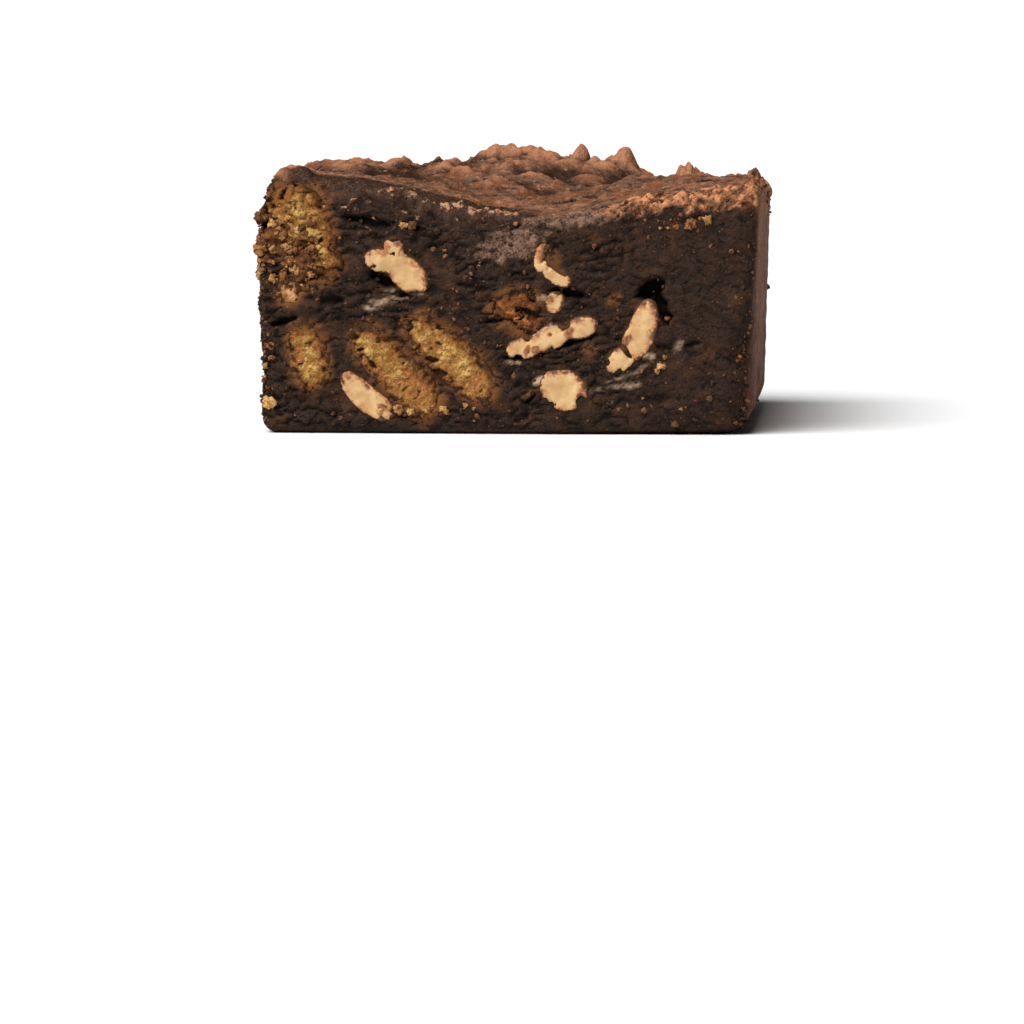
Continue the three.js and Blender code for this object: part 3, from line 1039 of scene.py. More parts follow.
@dataclass
class Pockets:
    """Where the biscuits and chunks lie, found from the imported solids."""

    nodes: dict[str, Piece]
    reach: float = 1.6
    margin: float = 2.4
    trees: list[tuple[str, BVHTree, np.ndarray, np.ndarray]] = field(init=False)

    def __post_init__(self) -> None:
        """Make a search tree for each chunk."""
        self.trees = []
        for name, node in self.nodes.items():
            if name == "fudge_block":
                continue
            tree, points = search_tree(node)
            self.trees.append((name, tree, points.min(0), points.max(0)))

    def depths(self, points: np.ndarray, facing: np.ndarray) -> dict[str, np.ndarray]:
        """How far each point of a side lies from the chunks' outlines.

        Args:
            points: Places in millimetres.
            facing: The way the surface faces there.

        Returns:
            For biscuits and for white chocolate: millimetres outside the nearest outline, below 0 inside. For
            "under": how far below a white chunk the point lies, from -1 above it to 1 under it.
        """
        inner = points - facing * self.reach
        found = {kind: np.full(len(points), 9.0) for kind in ("biscuit", "white")}
        found["under"] = np.zeros(len(points))
        for name, tree, low, high in self.trees:
            kind = name.split("_")[0]
            close = np.all((inner > low - self.margin) & (inner < high + self.margin), axis=1)
            for i in np.nonzero(close)[0]:
                away, normal = outside_by(tree, inner[i])
                if away < found[kind][i]:
                    found[kind][i] = away
                    if kind == "white":
                        found["under"][i] = -normal.z
        return found


@dataclass
class FudgeBlock:
    """The fudge block: its crust, its three cut sides and the side that baked against the tin.

    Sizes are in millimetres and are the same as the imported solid's.
    """

    pockets: Pockets
    finish: FudgeFinish = FudgeFinish()
    width: float = 71.0
    depth: float = 66.0
    top_level: float = 36.0
    recentre: tuple[float, float] = (0.193, -0.034)
    top_radius: float = 1.6
    cut_radius: float = 2.4
    tin_radius: float = 4.6
    # How deep the top sags, round which place across, how wide and how far back
    sag: tuple[float, float, float, float] = (4.9, 3.0, 18.0, 50.0)
    # How high it rises behind, round which place, how wide, from where and to where
    hump: tuple[float, float, float, float, float] = (1.2, -3.0, 15.0, 25.0, 60.0)
    # How deep the back right sinks, from and to which place across and back
    slump: tuple[float, float, float, float, float] = (2.4, 12.0, 20.0, 26.0, 56.0)
    # How deep the front lip is pressed, how far back, from and to which place across, and less at the corner
    lip: tuple[float, float, float, float, float] = (3.4, 4.6, -4.0, 3.5, 1.6)
    top_lean: float = 0.5
    # Below which height the cut sides bulge, and their insets at the top and at the foot
    bulge: tuple[float, float, float] = (27.0, 1.2, 0.2)
    tin_taper: float = 0.9
    # How high the crags are in front and behind, and where the change runs from and to
    crag: tuple[float, float, float, float] = (0.3, 1.2, 12.0, 36.0)
    crag_grain: float = 7.5
    # Each peak's place, height and half width
    peaks: tuple[tuple[float, float, float, float], ...] = (
        (-31.0, -27.0, 1.2, 3.6), (-25.5, 20.0, 0.8, 2.2), (-16.5, 26.0, 1.5, 3.0),
        (-8.0, 27.0, 1.7, 3.0), (-1.5, 26.0, 1.7, 5.0), (6.4, 25.0, 2.2, 1.3),
        (13.0, 26.0, 3.0, 2.4), (24.2, 25.0, 3.6, 2.4), (34.0, 29.0, 3.2, 2.4),
    )
    # Each basin's place, depth and half width
    basins: tuple[tuple[float, float, float, float], ...] = (
        (-27.0, 22.0, 1.2, 8.0), (-12.4, 22.0, 2.0, 3.8), (-3.6, 21.6, 1.7, 2.6),
        (8.4, 21.6, 1.6, 2.8), (-15.0, 8.0, 0.9, 4.0), (6.0, 4.0, 0.7, 4.5),
        (19.0, 8.0, 0.9, 4.0), (34.0, 29.0, 1.7, 1.8),
    )
    steps_across: int = 194
    steps_up: int = 102
    fine_along: tuple[int, float] = (36, 9.0)
    coarse_along: int = 78
    foot: float = 5.0
    points: np.ndarray = field(init=False)
    roots: np.ndarray = field(init=False)
    facing: np.ndarray = field(init=False)
    quads: np.ndarray = field(init=False)
    sockets: np.ndarray = field(init=False)
    marks: dict[str, np.ndarray] = field(init=False)

    @property
    def half(self) -> np.ndarray:
        """Half of the block's width, depth and height."""
        return np.array([self.width, self.depth, self.top_level]) / 2.0

    def top_height(self, x: np.ndarray, y: np.ndarray) -> np.ndarray:
        """Height of the top before its crags.

        Args:
            x: Places across the block.
            y: Places along it.

        Returns:
            The heights.
        """
        behind = y + self.half[1]
        deep, middle, reach, far = self.sag
        sag = deep * bell(x, middle, reach) * (1.0 - smooth(behind, 0.0, far))
        high, middle, reach, near, far = self.hump
        hump = high * bell(x, middle, reach) * smooth(behind, near, far)
        deep, left, right, near, far = self.slump
        slump = deep * smooth(x, left, right) * smooth(behind, near, far)
        deep, far, left, right, raised = self.lip
        corner = raised * smooth(-x, self.half[0] - 12.0, self.half[0])
        span = 1.0 - smooth(x, left, right)
        lip = (deep - corner - 0.9 * bell(x, -4.2, 3.0)) * span * (1.0 - smooth(behind, 0.0, far))
        return self.top_level - self.top_lean * x / self.half[0] - sag + hump - slump - lip

    def crag_height(self, x: np.ndarray, y: np.ndarray) -> np.ndarray:
        """Height of the crags on the top, from the smooth front to the rough back.

        Args:
            x: Places across the block.
            y: Places along it.

        Returns:
            The heights above the top.
        """
        level = np.ones_like(x)
        low, rough, near, far = self.crag
        high = mix(low, rough, smooth(y + self.half[1], near, far))
        inside = np.minimum(self.half[0] - np.abs(x), self.half[1] - np.abs(y))
        fade = mix(0.5, 1.0, smooth(inside, 0.0, 5.0))
        bend = 1.2 * noise(np.stack([x / 9.0, y / 9.0, 5.5 * level], 1))
        grain = self.crag_grain
        ridge_place = np.stack([x / grain + bend, y / (grain * 0.8) - bend, 1.5 * level], 1)
        ridge = 1.0 - 2.0 * np.abs(noise(ridge_place))
        rough = noise(np.stack([x / 4.6, y / 4.6, 8.5 * level], 1))
        return high * fade * (0.6 * ridge + 0.35 * rough) + self.peak_height(x, y)

    def peak_height(self, x: np.ndarray, y: np.ndarray) -> np.ndarray:
        """Height of the peaks that stand along the far edge.

        Args:
            x: Places across the block.
            y: Places along it.

        Returns:
            The heights above the crags.
        """
        flat = np.stack([x, y, 0.0 * x], 1)
        bent = [1.4 * grit(flat, 2.4, seed) + 0.6 * grit(flat, 1.1, seed + 3.0) for seed in (61.0, 62.0)]
        total = np.zeros_like(x)
        for px, py, top, wide in self.peaks:
            away = np.hypot(x + bent[0] - px, y + bent[1] - py) / wide
            total += top * smooth(away, 1.55, 0.3)
        return total * (0.92 + 0.4 * grit(flat, 1.6, 63.0))

    def flank_inset(self, x: np.ndarray, z: np.ndarray) -> np.ndarray:
        """How far the left or right side lies within the full width.

        Args:
            x: Places across the block.
            z: Heights.

        Returns:
            The insets.
        """
        level, top, foot = self.bulge
        above = top * smooth(z, level, self.top_level)
        below = foot * (1.0 - smooth(z, 0.0, level))
        return np.where(x > 0, self.tin_taper * (1.0 - z / self.top_level), above + below)

    def onto_block(self, box: np.ndarray) -> tuple[np.ndarray, np.ndarray]:
        """Move points of a plain box onto the block.

        Args:
            box: Points on a box of the block's full size, around its middle.

        Returns:
            Their places on the block and the way the surface faces there.
        """
        half = self.half
        share = box[:, 2] / self.top_level + 0.5
        foot = mix(self.cut_radius, self.tin_radius, smooth(box[:, 0], 0.0, half[0]))
        radius = mix(foot, self.top_radius, smooth(share, 0.2, 0.7))
        core = np.clip(box, radius[:, None] - half, half - radius[:, None])
        facing = box - core
        facing /= np.linalg.norm(facing, axis=1)[:, None]
        placed = core + facing * radius[:, None]
        level = self.top_height(placed[:, 0], placed[:, 1]) / self.top_level
        placed[:, 2] = (placed[:, 2] + half[2]) * level
        placed[:, 0] -= placed[:, 0] / half[0] * self.flank_inset(placed[:, 0], placed[:, 2])
        side = self.side_relief(placed, facing) * smooth(placed[:, 2], 0.0, 4.0)
        crags = self.crag_height(placed[:, 0], placed[:, 1]) * np.clip(facing[:, 2], 0.0, 1.0)
        placed[:, :2] += facing[:, :2] * side[:, None]
        placed[:, 2] += crags
        placed[:, :2] += np.array(self.recentre)
        return placed, facing

    def side_relief(self, placed: np.ndarray, facing: np.ndarray) -> np.ndarray:
        """Broad relief of the upright sides.

        Args:
            placed: Places on the block.
            facing: The way the surface faces there.

        Returns:
            Heights of the crumbly cuts and of the tin side's grooves.
        """
        x, y, z = placed.T
        crumb = 0.45 * noise(np.stack([(x + y) / 7.0, (x - y) / 7.0, z / 3.6], 1))
        groove = 0.22 * noise(np.stack([y / 5.0, np.full_like(y, 2.5), z / 40.0], 1))
        return mix(crumb, groove, smooth(facing[:, 0], 0.5, 0.9))

    def grid(self) -> np.ndarray:
        """Lay out the box: fine at the front, open in the middle of its underside.

        Returns:
            The box's points. The quads that join them are kept in the block.
        """
        nx, nz = self.steps_across, self.steps_up
        fine, reach = self.fine_along
        front = np.linspace(0.0, reach, fine, endpoint=False)
        along = np.concatenate([front, np.linspace(reach, self.depth, self.coarse_along + 1)])
        ny = len(along) - 1
        lines = [np.linspace(0.0, self.width, nx + 1), along, np.linspace(0.0, self.top_level, nz + 1)]
        i, j, k = np.meshgrid(np.arange(nx + 1), np.arange(ny + 1), np.arange(nz + 1), indexing="ij")
        near_side = np.minimum(i, nx - i) * self.width / nx
        near_edge = np.minimum(near_side, np.minimum(along[j], self.depth - along[j]))
        shown = (i == 0) | (i == nx) | (j == 0) | (j == ny) | (k == nz) | ((k == 0) & (near_edge < self.foot))
        number = np.full(shown.shape, -1)
        number[shown] = np.arange(shown.sum())
        box = np.stack([lines[0][i[shown]], lines[1][j[shown]], lines[2][k[shown]]], 1) - self.half
        sheets = [number[0].T, number[nx], number[:, 0], number[:, ny].T, number[:, :, nz], number[:, :, 0].T]
        quads = [
            np.stack([s[:-1, :-1], s[1:, :-1], s[1:, 1:], s[:-1, 1:]], -1).reshape(-1, 4) for s in sheets
        ]
        quads = np.concatenate(quads)
        self.quads = quads[(quads >= 0).all(1)]
        return box

    def underside(self) -> list[int]:
        """Find the open middle of the underside.

        Returns:
            The loop of points round it, ready to be closed.
        """
        quads = self.quads
        edges = np.concatenate([quads[:, [a, (a + 1) % 4]] for a in range(4)])
        forward = {(int(a), int(b)) for a, b in edges}
        onward = {b: a for a, b in forward if (b, a) not in forward}
        start = next(iter(onward))
        loop = [start]
        while onward[loop[-1]] != start:
            loop.append(onward[loop[-1]])
        return loop

    def crust_mask(self, edge_in: np.ndarray, leftward: np.ndarray) -> np.ndarray:
        """Where the crust lies. It ends raggedly at the cuts, and further in at the front left.

        Args:
            edge_in: How far each point lies behind the front cut, with a ragged wander.
            leftward: 1 on the left part of the block.

        Returns:
            Numbers from 0 to 1.
        """
        ragged = 0.22 * grit(self.points, 1.8, 3.0) + 0.2 * grit(self.points, 0.8, 6.0)
        upward = self.facing[:, 2]
        over_back = 0.7 * smooth(self.points[:, 1], 5.0, 25.0) * smooth(upward, 0.05, 0.25)
        upward = smooth(upward + ragged + over_back, 0.4, 0.75)
        return upward * mix(1.0, smooth(edge_in, 2.0, 3.0), leftward)

    def basin_depth(self) -> np.ndarray:
        """Find the depth of the broad basins in the crust.

        Returns:
            Depths in millimetres.
        """
        p = self.points
        x = p[:, 0] + 1.2 * grit(p, 4.0, 71.0)
        y = p[:, 1] + 1.2 * grit(p, 4.0, 72.0)
        return sum(deep * bell(x, px, wide) * bell(y, py, 0.6 * wide) for px, py, deep, wide in self.basins)

    def tin_mask(self) -> np.ndarray:
        """1 on the side that baked against the tin."""
        wobble = 0.05 * noise(self.points / 1.7, 5.0)
        return smooth(self.facing[:, 0] + wobble, 0.74, 0.9) * (1.0 - smooth(self.facing[:, 2], 0.3, 0.6))

    def tear(self, cut: np.ndarray, calm: np.ndarray) -> tuple[np.ndarray, np.ndarray]:
        """Relief of the torn cuts: stacked plates with sunken slots between, clumps and grit.

        Args:
            cut: How much each point belongs to a cut side.
            calm: How much the relief is kept down, from 0 to 1.

        Returns:
            Heights in millimetres, and how much of each point is a slot, which the finish paints with shade.
        """
        p = self.points
        along = p[:, 0] - 0.7 * p[:, 1]
        fall = np.maximum(along - 38.0, 0.0)
        folds = p + np.stack([0.8 * grit(p, 2.2, s) for s in (11.0, 12.0, 13.0)], 1)
        folds[:, 2] += 0.02 * fall**2 - 0.16 * along + 0.9 * grit(p, 7.0, 14.0)
        large = scatter_cells(folds, (2.6, 2.6, 1.5), 1.0)
        small = scatter_cells(folds + 0.3 * grit(p, 0.9, 16.0)[:, None], (1.3, 1.3, 0.85), 2.0)
        torn = smooth(grit(p, 4.5, 15.0), -0.4, 0.1)
        level = smooth(np.abs(large.away[:, 2]), 0.12, 0.3)
        wide_slot = smooth(large.border, 0.27, 0.07) * level * torn
        level = smooth(np.abs(small.away[:, 2]), 0.12, 0.3)
        fine_slot = smooth(small.border, 0.26, 0.04) * level * smooth(grit(p, 2.4, 18.0), -0.2, 0.35)
        step = 0.1 * large.draw - 0.1 * large.away[:, 2] + 0.06 * small.draw
        lump = 0.11 * (0.5 - small.near) + 0.1 * grit(p, 1.7, 19.0) + 0.05 * grit(p, 0.8, 20.0)
        kept = cut * (1.0 - calm) * mix(0.85, 0.45, smooth(along, 34.0, 46.0))
        height = step + lump - 0.56 * wide_slot - 0.34 * fine_slot
        return kept * height, kept * np.maximum(wide_slot, 0.75 * fine_slot)

    def crackle(self, crust: np.ndarray, lip: np.ndarray) -> np.ndarray:
        """Relief of the crust: folded streaks, broad crags with hollows behind them, and small flakes.

        Args:
            crust: How much each point belongs to the crust.
            lip: How much each point belongs to the front lip.

        Returns:
            Heights in millimetres.
        """
        p = self.points
        flat = p * np.array([1.0, 1.0, 0.3])
        behind = p[:, 1] + self.half[1]
        back = smooth(behind, 18.0, 42.0)
        bend = np.stack([2.2 * grit(p, 8.0, 21.0), 2.2 * grit(p, 8.0, 22.0), 0.0 * behind], 1)
        streak = grit((flat + bend) * np.array([0.36, 1.0, 1.0]), 2.4, 23.0)
        broad = (flat + bend) * np.array([0.8, 1.0, 1.0])
        crag = 0.9 - 3.0 * np.abs(grit(broad, 10.0, 24.0)) + 1.1 * grit(flat, 3.6, 29.0)
        crag -= 0.9 * np.abs(grit(flat, 2.4, 48.0))
        flakes = scatter_cells(p + 0.5 * bend, (2.4, 1.5, 1.4), 5.0)
        flake = 0.26 * flakes.draw + 0.2 * (0.5 - flakes.near) - 0.16 * smooth(flakes.border, 0.12, 0.0)
        fine = 0.24 * grit(p, 1.2, 25.0) + 0.12 * grit(p, 0.7, 30.0)
        rough = 0.3 * streak + back * crag + mix(1.0, 0.6, back) * flake + mix(1.0, 1.2, back) * fine
        leftward = (1.0 - smooth(p[:, 0], 0.0, 8.0)) * smooth(p[:, 0], -33.0, -24.0)
        roll = 0.45 * bell(behind, 6.0 + 0.8 * grit(p, 6.0, 38.0), 1.6) * leftward
        calm = 0.22 * grit(p, 3.4, 27.0) + 0.16 * grit(p, 1.2, 28.0) + 0.08 * grit(p, 0.7, 26.0)
        return crust * (mix(rough * smooth(behind, 1.0, 7.0), calm, lip) + roll)

    def rim_band(self, tin: np.ndarray) -> np.ndarray:
        """The band of terracotta crumb along the edge of the crust, widest at the front right.

        Args:
            tin: How much each point belongs to the tin's side.

        Returns:
            Numbers from 0 to 1.
        """
        p = self.points
        below = self.top_height(p[:, 0], p[:, 1]) - p[:, 2]
        inset = np.minimum(self.half[0] - np.abs(p[:, 0]), self.half[1] - np.abs(p[:, 1]))
        right = smooth(p[:, 0], 6.0, 22.0)
        wide = mix(0.2, 3.2, right) + 1.3 * grit(p, 3.6, 35.0) + 1.1 * grit(p, 1.4, 36.0)
        broken = smooth(grit(p, 1.3, 40.0), -0.7, 0.2)
        return smooth(wide - below, -0.1, 0.5) * smooth(inset, 2.6, 1.2) * right * broken * (1.0 - 0.6 * tin)

    def zones(self) -> dict[str, np.ndarray]:
        """Divide the surface into crust, cuts and tin side, and the torn edge between crust and front cut.

        Returns:
            A mask for each, by name.
        """
        p, n = self.points, self.facing
        edge_in = p[:, 1] + self.half[1] + 0.9 * grit(p, 3.4, 4.0) + 0.5 * grit(p, 1.2, 5.0)
        leftward = smooth(p[:, 0] + 2.0 * grit(p, 3.0, 7.0), 8.0, 1.0)
        crust, tin = self.crust_mask(edge_in, leftward), self.tin_mask()
        clear = smooth(p[:, 0] + 1.5 * grit(p, 2.0, 8.0), -34.0, -30.0)
        ridge = 2.6 * smooth(p[:, 0], -26.0, -18.0) + 0.5
        upward = smooth(n[:, 2], 0.2, 0.6) * leftward * clear
        lower = 0.7 * bell(edge_in, 0.45 * ridge, 0.3) * smooth(grit(p, 2.4, 42.0), -0.2, 0.2)
        torn = bell(edge_in, ridge, 0.42) + lower
        torn *= upward * smooth(grit(p, 1.9, 40.0), -0.8, -0.1)
        return {
            "crust": crust,
            "tin": tin,
            "cut": (1.0 - crust) * (1.0 - tin) * smooth(n[:, 2], -0.95, -0.6),
            "lip": crust * smooth(edge_in, 6.8, 4.8) * leftward * clear,
            "fringe": crust * bell(edge_in, 6.4, 1.2) * leftward * clear,
            "torn": torn,
            # The crevice under the torn ridge is sunk and also painted with shade.
            "crevice": bell(edge_in, ridge - 0.8, 0.4) * upward * smooth(grit(p, 2.6, 43.0), -0.3, 0.2),
        }

    def pocket_edges(self, found: dict[MarkKind, np.ndarray]) -> dict[str, np.ndarray]:
        """Find how the fudge meets the biscuits and chunks.

        Args:
            found: The marks on the surface.

        Returns:
            Masks of the sockets, the painted shade under white chunks, the soaked crumb and the calm near
            them.
        """
        p = self.points
        away = self.pockets.depths(p, self.facing)
        nearest = np.minimum(away["biscuit"] - 0.3, away["white"])
        ragged = 0.28 * grit(p, 1.1, 31.0) + 0.14 * grit(p, 0.5, 32.0)
        bare = 1.0 - found[MarkKind.COVER]
        # Painted shade under the white chunks.
        gap = smooth(away["white"] + ragged, 0.45, 0.0) * smooth(away["under"], -0.2, 0.6)
        soak = np.maximum(smooth(away["biscuit"] + 1.8 * ragged, 1.9, 0.1), found[MarkKind.STAIN])
        above = smooth(away["under"], 0.1, -0.5)
        return {
            "socket": smooth(nearest + 0.4 * ragged, -0.2, -0.5) * bare,
            "gap": gap * bare * smooth(grit(p, 2.2, 34.0), -0.4, 0.1),
            "soak": np.maximum(soak, 0.6 * smooth(away["white"] + ragged, 0.9, 0.2) * above),
            "calm": 0.7 * smooth(away["white"], 1.2, 0.0),
        }

    def build(self) -> Piece:
        """Make the block's mesh, with its marks.

        Returns:
            The block.
        """
        self.points, self.facing = self.onto_block(self.grid())
        p, n = self.points, self.facing
        behind = p[:, 1] + self.half[1]
        zones, found = self.zones(), gather_marks(p, n)
        near = self.pocket_edges(found)
        crust, lip, tin, torn = zones["crust"], zones["lip"], zones["tin"], zones["torn"]
        socket, sink = near["socket"], found[MarkKind.HOLLOW]
        # Grey marks are painted sheen; they also calm the relief of the cut.
        grey = found[MarkKind.GREY] * (1.0 - sink.clip(0.0, 1.0))
        tears, slots = self.tear(zones["cut"], np.maximum(near["calm"], 0.5 * grey))
        basin = self.basin_depth() * crust
        baked = self.crackle(crust, lip) - basin
        peaks = 0.6 * self.peak_height(p[:, 0], p[:, 1])
        raised = baked + 0.3 * smooth(behind, 30.0, 14.0) + peaks - 1.2 * basin
        rim = self.rim_band(tin)
        upright = p * np.array([1.0, 1.0, 0.1])
        grooves = tin * (0.1 * grit(upright, 1.2, 33.0) + 0.14 * grit(p, 1.6, 49.0))
        bits = scatter_cells(p + 0.5 * grit(p, 0.9, 44.0)[:, None], (1.5, 1.5, 1.1), 8.0)
        crumbs = 0.3 * bits.draw + 0.8 * (0.5 - bits.near) + 0.3 * grit(p, 0.8, 42.0)
        # Painted shade in the gaps between the rim's crumbs.
        rim_gap = rim * smooth(bits.border, 0.22, 0.04) * smooth(bits.draw, 0.6, -0.2)
        relief = tears * (1.0 - 0.6 * rim) + baked + grooves + rim * crumbs + 0.5 * torn
        relief -= 0.6 * zones["crevice"]
        relief = relief * (1.0 - socket) - sink - 1.1 * socket
        relief *= smooth(p[:, 2], 0.3, 1.6)
        # Painted shade: the sunk hollows, the places under white chunks, the torn slots and the rim's gaps
        # are darkened.
        dark = np.maximum(smooth(sink, 0.2, 1.0), 0.9 * near["gap"])
        dark = np.maximum(np.maximum(slots * (1.0 - 0.8 * rim), dark), 0.85 * rim_gap)
        self.marks = {
            "crust": crust,
            "lip": lip,
            "fringe": zones["fringe"],
            "tin": tin,
            # Painted light from the height of the crust's relief: highlight on the crests, shade in the dips.
            "crest": smooth(raised, 0.3, 1.0) * (1.0 - lip),
            "dip": smooth(raised, 0.2, -0.4) * crust * (1.0 - lip),
            "soak": near["soak"] * zones["cut"] * 0.9,
            "rim": rim,
            "bit": 0.5 + 0.5 * bits.draw,
            "torn": torn.clip(0.0, 1.0),
            "grey": grey,
            "pale": found[MarkKind.PALE] * mix(0.45, 1.0, smooth(grit(p, 0.7, 37.0), -0.3, 0.2)),
            "crumbly": found[MarkKind.CRUMBLY],
            # Painted shade, read by the finishes.
            "hollow": np.maximum(dark * (1.0 - 0.8 * near["soak"]), 0.85 * zones["crevice"]),
        }
        self.sockets = socket
        filled = socket * smooth(found[MarkKind.CRUMBLY], 0.2, 0.5)
        self.roots = p + n * mix(relief.clip(-0.4, 0.4), 0.1, filled)[:, None]
        self.points = p + n * relief[:, None]
        faces = self.quads.tolist() + [self.underside()]
        piece = make_object("fudge_crumb", self.points, faces, self.marks)
        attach(piece, "root")
        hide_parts("fudge_block")
        return piece


# Biscuits and white chocolate


@dataclass
class Chunk:
    """A piece set in a cut side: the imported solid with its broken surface.

    Sizes are in millimetres.
    """

    node: Piece
    voxel: float = 0.17
    grow: float = 0.42
    reach: float = 1.5
    cover_depth: float = 1.6

    @property
    def side(self) -> Side:
        """The side it shows in."""
        word = self.node.name.split("_")[1]
        return {"back": Side.BACK, "left": Side.LEFT}.get(word, Side.FRONT)

    def fine_mesh(self) -> tuple[np.ndarray, np.ndarray, list]:
        """Remake the solid as even small faces.

        Returns:
            Points in millimetres, the way the surface faces at each, and the faces.
        """
        work = bpy.data.objects.new("work", self.node.data.copy())
        bpy.context.scene.collection.objects.link(work)
        remesh = work.modifiers.new("even", "REMESH")
        remesh.mode = "VOXEL"
        remesh.voxel_size = self.voxel * MM
        seen = work.evaluated_get(bpy.context.evaluated_depsgraph_get())
        mesh = bpy.data.meshes.new_from_object(seen)
        points = np.array([v.co[:] for v in mesh.vertices]) / MM
        facing = np.array([v.normal[:] for v in mesh.vertices])
        faces = [list(f.vertices) for f in mesh.polygons]
        bpy.data.objects.remove(work)
        bpy.data.meshes.remove(mesh)
        return points, facing, faces

    def outline(self, points: np.ndarray) -> tuple[np.ndarray, np.ndarray]:
        """How far inside the piece's outline each point lies, and on which edge.

        Args:
            points: Places in millimetres.

        Returns:
            Distances, below 0 outside, and 1 at the upper right edge down to 0 at the lower left one.
        """
        tree = search_tree(self.node)[0]
        inner = points - self.side.outward * self.reach
        way = Vector(self.side.rightward * 0.6 + np.array([0.0, 0.0, 0.8]))
        inside, upper = np.zeros(len(points)), np.zeros(len(points))
        for i, place in enumerate(inner):
            away, normal = outside_by(tree, place)
            inside[i], upper[i] = -away, way.dot(normal)
        return inside, smooth(upper, -0.3, 0.5)

    def relief(self, points: np.ndarray, edge: np.ndarray, upper: np.ndarray) -> dict[str, np.ndarray]:
        """Relief of the shown face and what the finish needs to know of it."""
        raise NotImplementedError

    def build(self, material: bpy.types.Material, slot: str) -> Piece:
        """Make the piece.

        Args:
            material: Its finish.
            slot: Not used.

        Returns:
            The piece.
        """
        points, facing, faces = self.fine_mesh()
        outward = self.side.outward
        shown = smooth(facing @ outward, 0.35, 0.75)
        edge, upper = self.outline(points)
        found = gather_marks(points, np.tile(outward, (len(points), 1)))
        marks = self.relief(points, edge, upper)
        # Hollow marks sink the piece and are also painted with shade through its mark.
        hollow = found[MarkKind.HOLLOW]
        height = marks.pop("height") - 0.7 * hollow.clip(0.0, 1.0) - self.cover_depth * found[MarkKind.COVER]
        sideways = facing - np.outer(facing @ outward, outward)
        moved = points + sideways * self.grow + np.outer(height * shown, outward)
        marks |= {"edge": mix(-1.0, edge, shown), "upper": upper, "hollow": smooth(hollow, 0.1, 0.8)}
        marks["smudge"] = found[MarkKind.SMUDGE]
        piece = make_object(self.node.name + "_piece", moved, faces, marks)
        piece.data.materials.append(material)
        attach(piece, "root")
        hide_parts(self.node.name)
        return piece


@dataclass
class Biscuit(Chunk):
    """A broken biscuit: grains that stand proud with pits between them, soaked soft along its upper edge."""

    grow: float = 0.7
    broken: float = 1.0

    def relief(self, points: np.ndarray, edge: np.ndarray, upper: np.ndarray) -> dict[str, np.ndarray]:
        """Relief of the broken face.

        Args:
            points: Places in millimetres.
            edge: How far inside the outline each lies.
            upper: Where the nearest edge is the upper right one.

        Returns:
            Heights in millimetres, with masks of the crevices and pits, which the finish paints with shade,
            and a tone for each clump.
        """
        bent = points + np.stack([0.4 * grit(points, 0.9, s) for s in (44.0, 54.0, 64.0)], 1)
        clumps = scatter_cells(bent, (1.2, 1.2, 1.0), 6.0)
        grains = scatter_cells(points + 0.12 * grit(points, 0.3, 55.0)[:, None], (0.5, 0.5, 0.5), 7.0)
        wander = 0.4 * grit(points, 1.8, 45.0) + 0.25 * grit(points, 0.7, 46.0)
        bed = mix(-0.8, 0.12, smooth(edge + wander, -0.8, 0.0))
        clump = 0.16 * clumps.draw + 0.24 * (0.5 - clumps.near)
        torn = mix(-0.15, -0.45, smooth(edge, 0.2, mix(1.6, 0.5, upper)))
        crevice = smooth(grit(bent, 1.0, 47.0), torn, torn - 0.3) * smooth(clumps.border, 0.5, 0.1)
        pit = smooth(grains.draw, 0.7, 0.85) * smooth(grains.border, 0.0, 0.3)
        grain = 0.09 * grains.draw + 0.12 * (0.5 - grains.near)
        height = bed + self.broken * (clump - 0.4 * crevice) + grain - 0.14 * pit
        deep = np.maximum(crevice, 0.6 * pit)
        tone = smooth(0.4 * clumps.draw + 0.3 * grains.draw + 0.5 * grit(points, 2.5, 48.0), -1.0, 0.8)
        return {"height": height, "deep": deep, "tone": tone, "pink": smooth(clumps.draw, -0.55, -0.8)}


@dataclass
class WhiteChunk(Chunk):
    """A white chocolate chunk: smooth where the knife went through, sunk at its edge."""

    def relief(self, points: np.ndarray, edge: np.ndarray, upper: np.ndarray) -> dict[str, np.ndarray]:
        """Relief of the cut face.

        Args:
            points: Places in millimetres.
            edge: How far inside the outline each lies.
            upper: Not used.

        Returns:
            Heights in millimetres.
        """
        wander = 0.26 * grit(points, 1.7, 49.0) + 0.12 * grit(points, 0.7, 50.0)
        bed = mix(-0.9, 0.2, smooth(edge + wander, -0.85, -0.25))
        waves = 0.14 * grit(points, 2.4, 51.0) + 0.08 * grit(points, 1.0, 52.0)
        return {"height": bed + waves}


# Loose crumbs


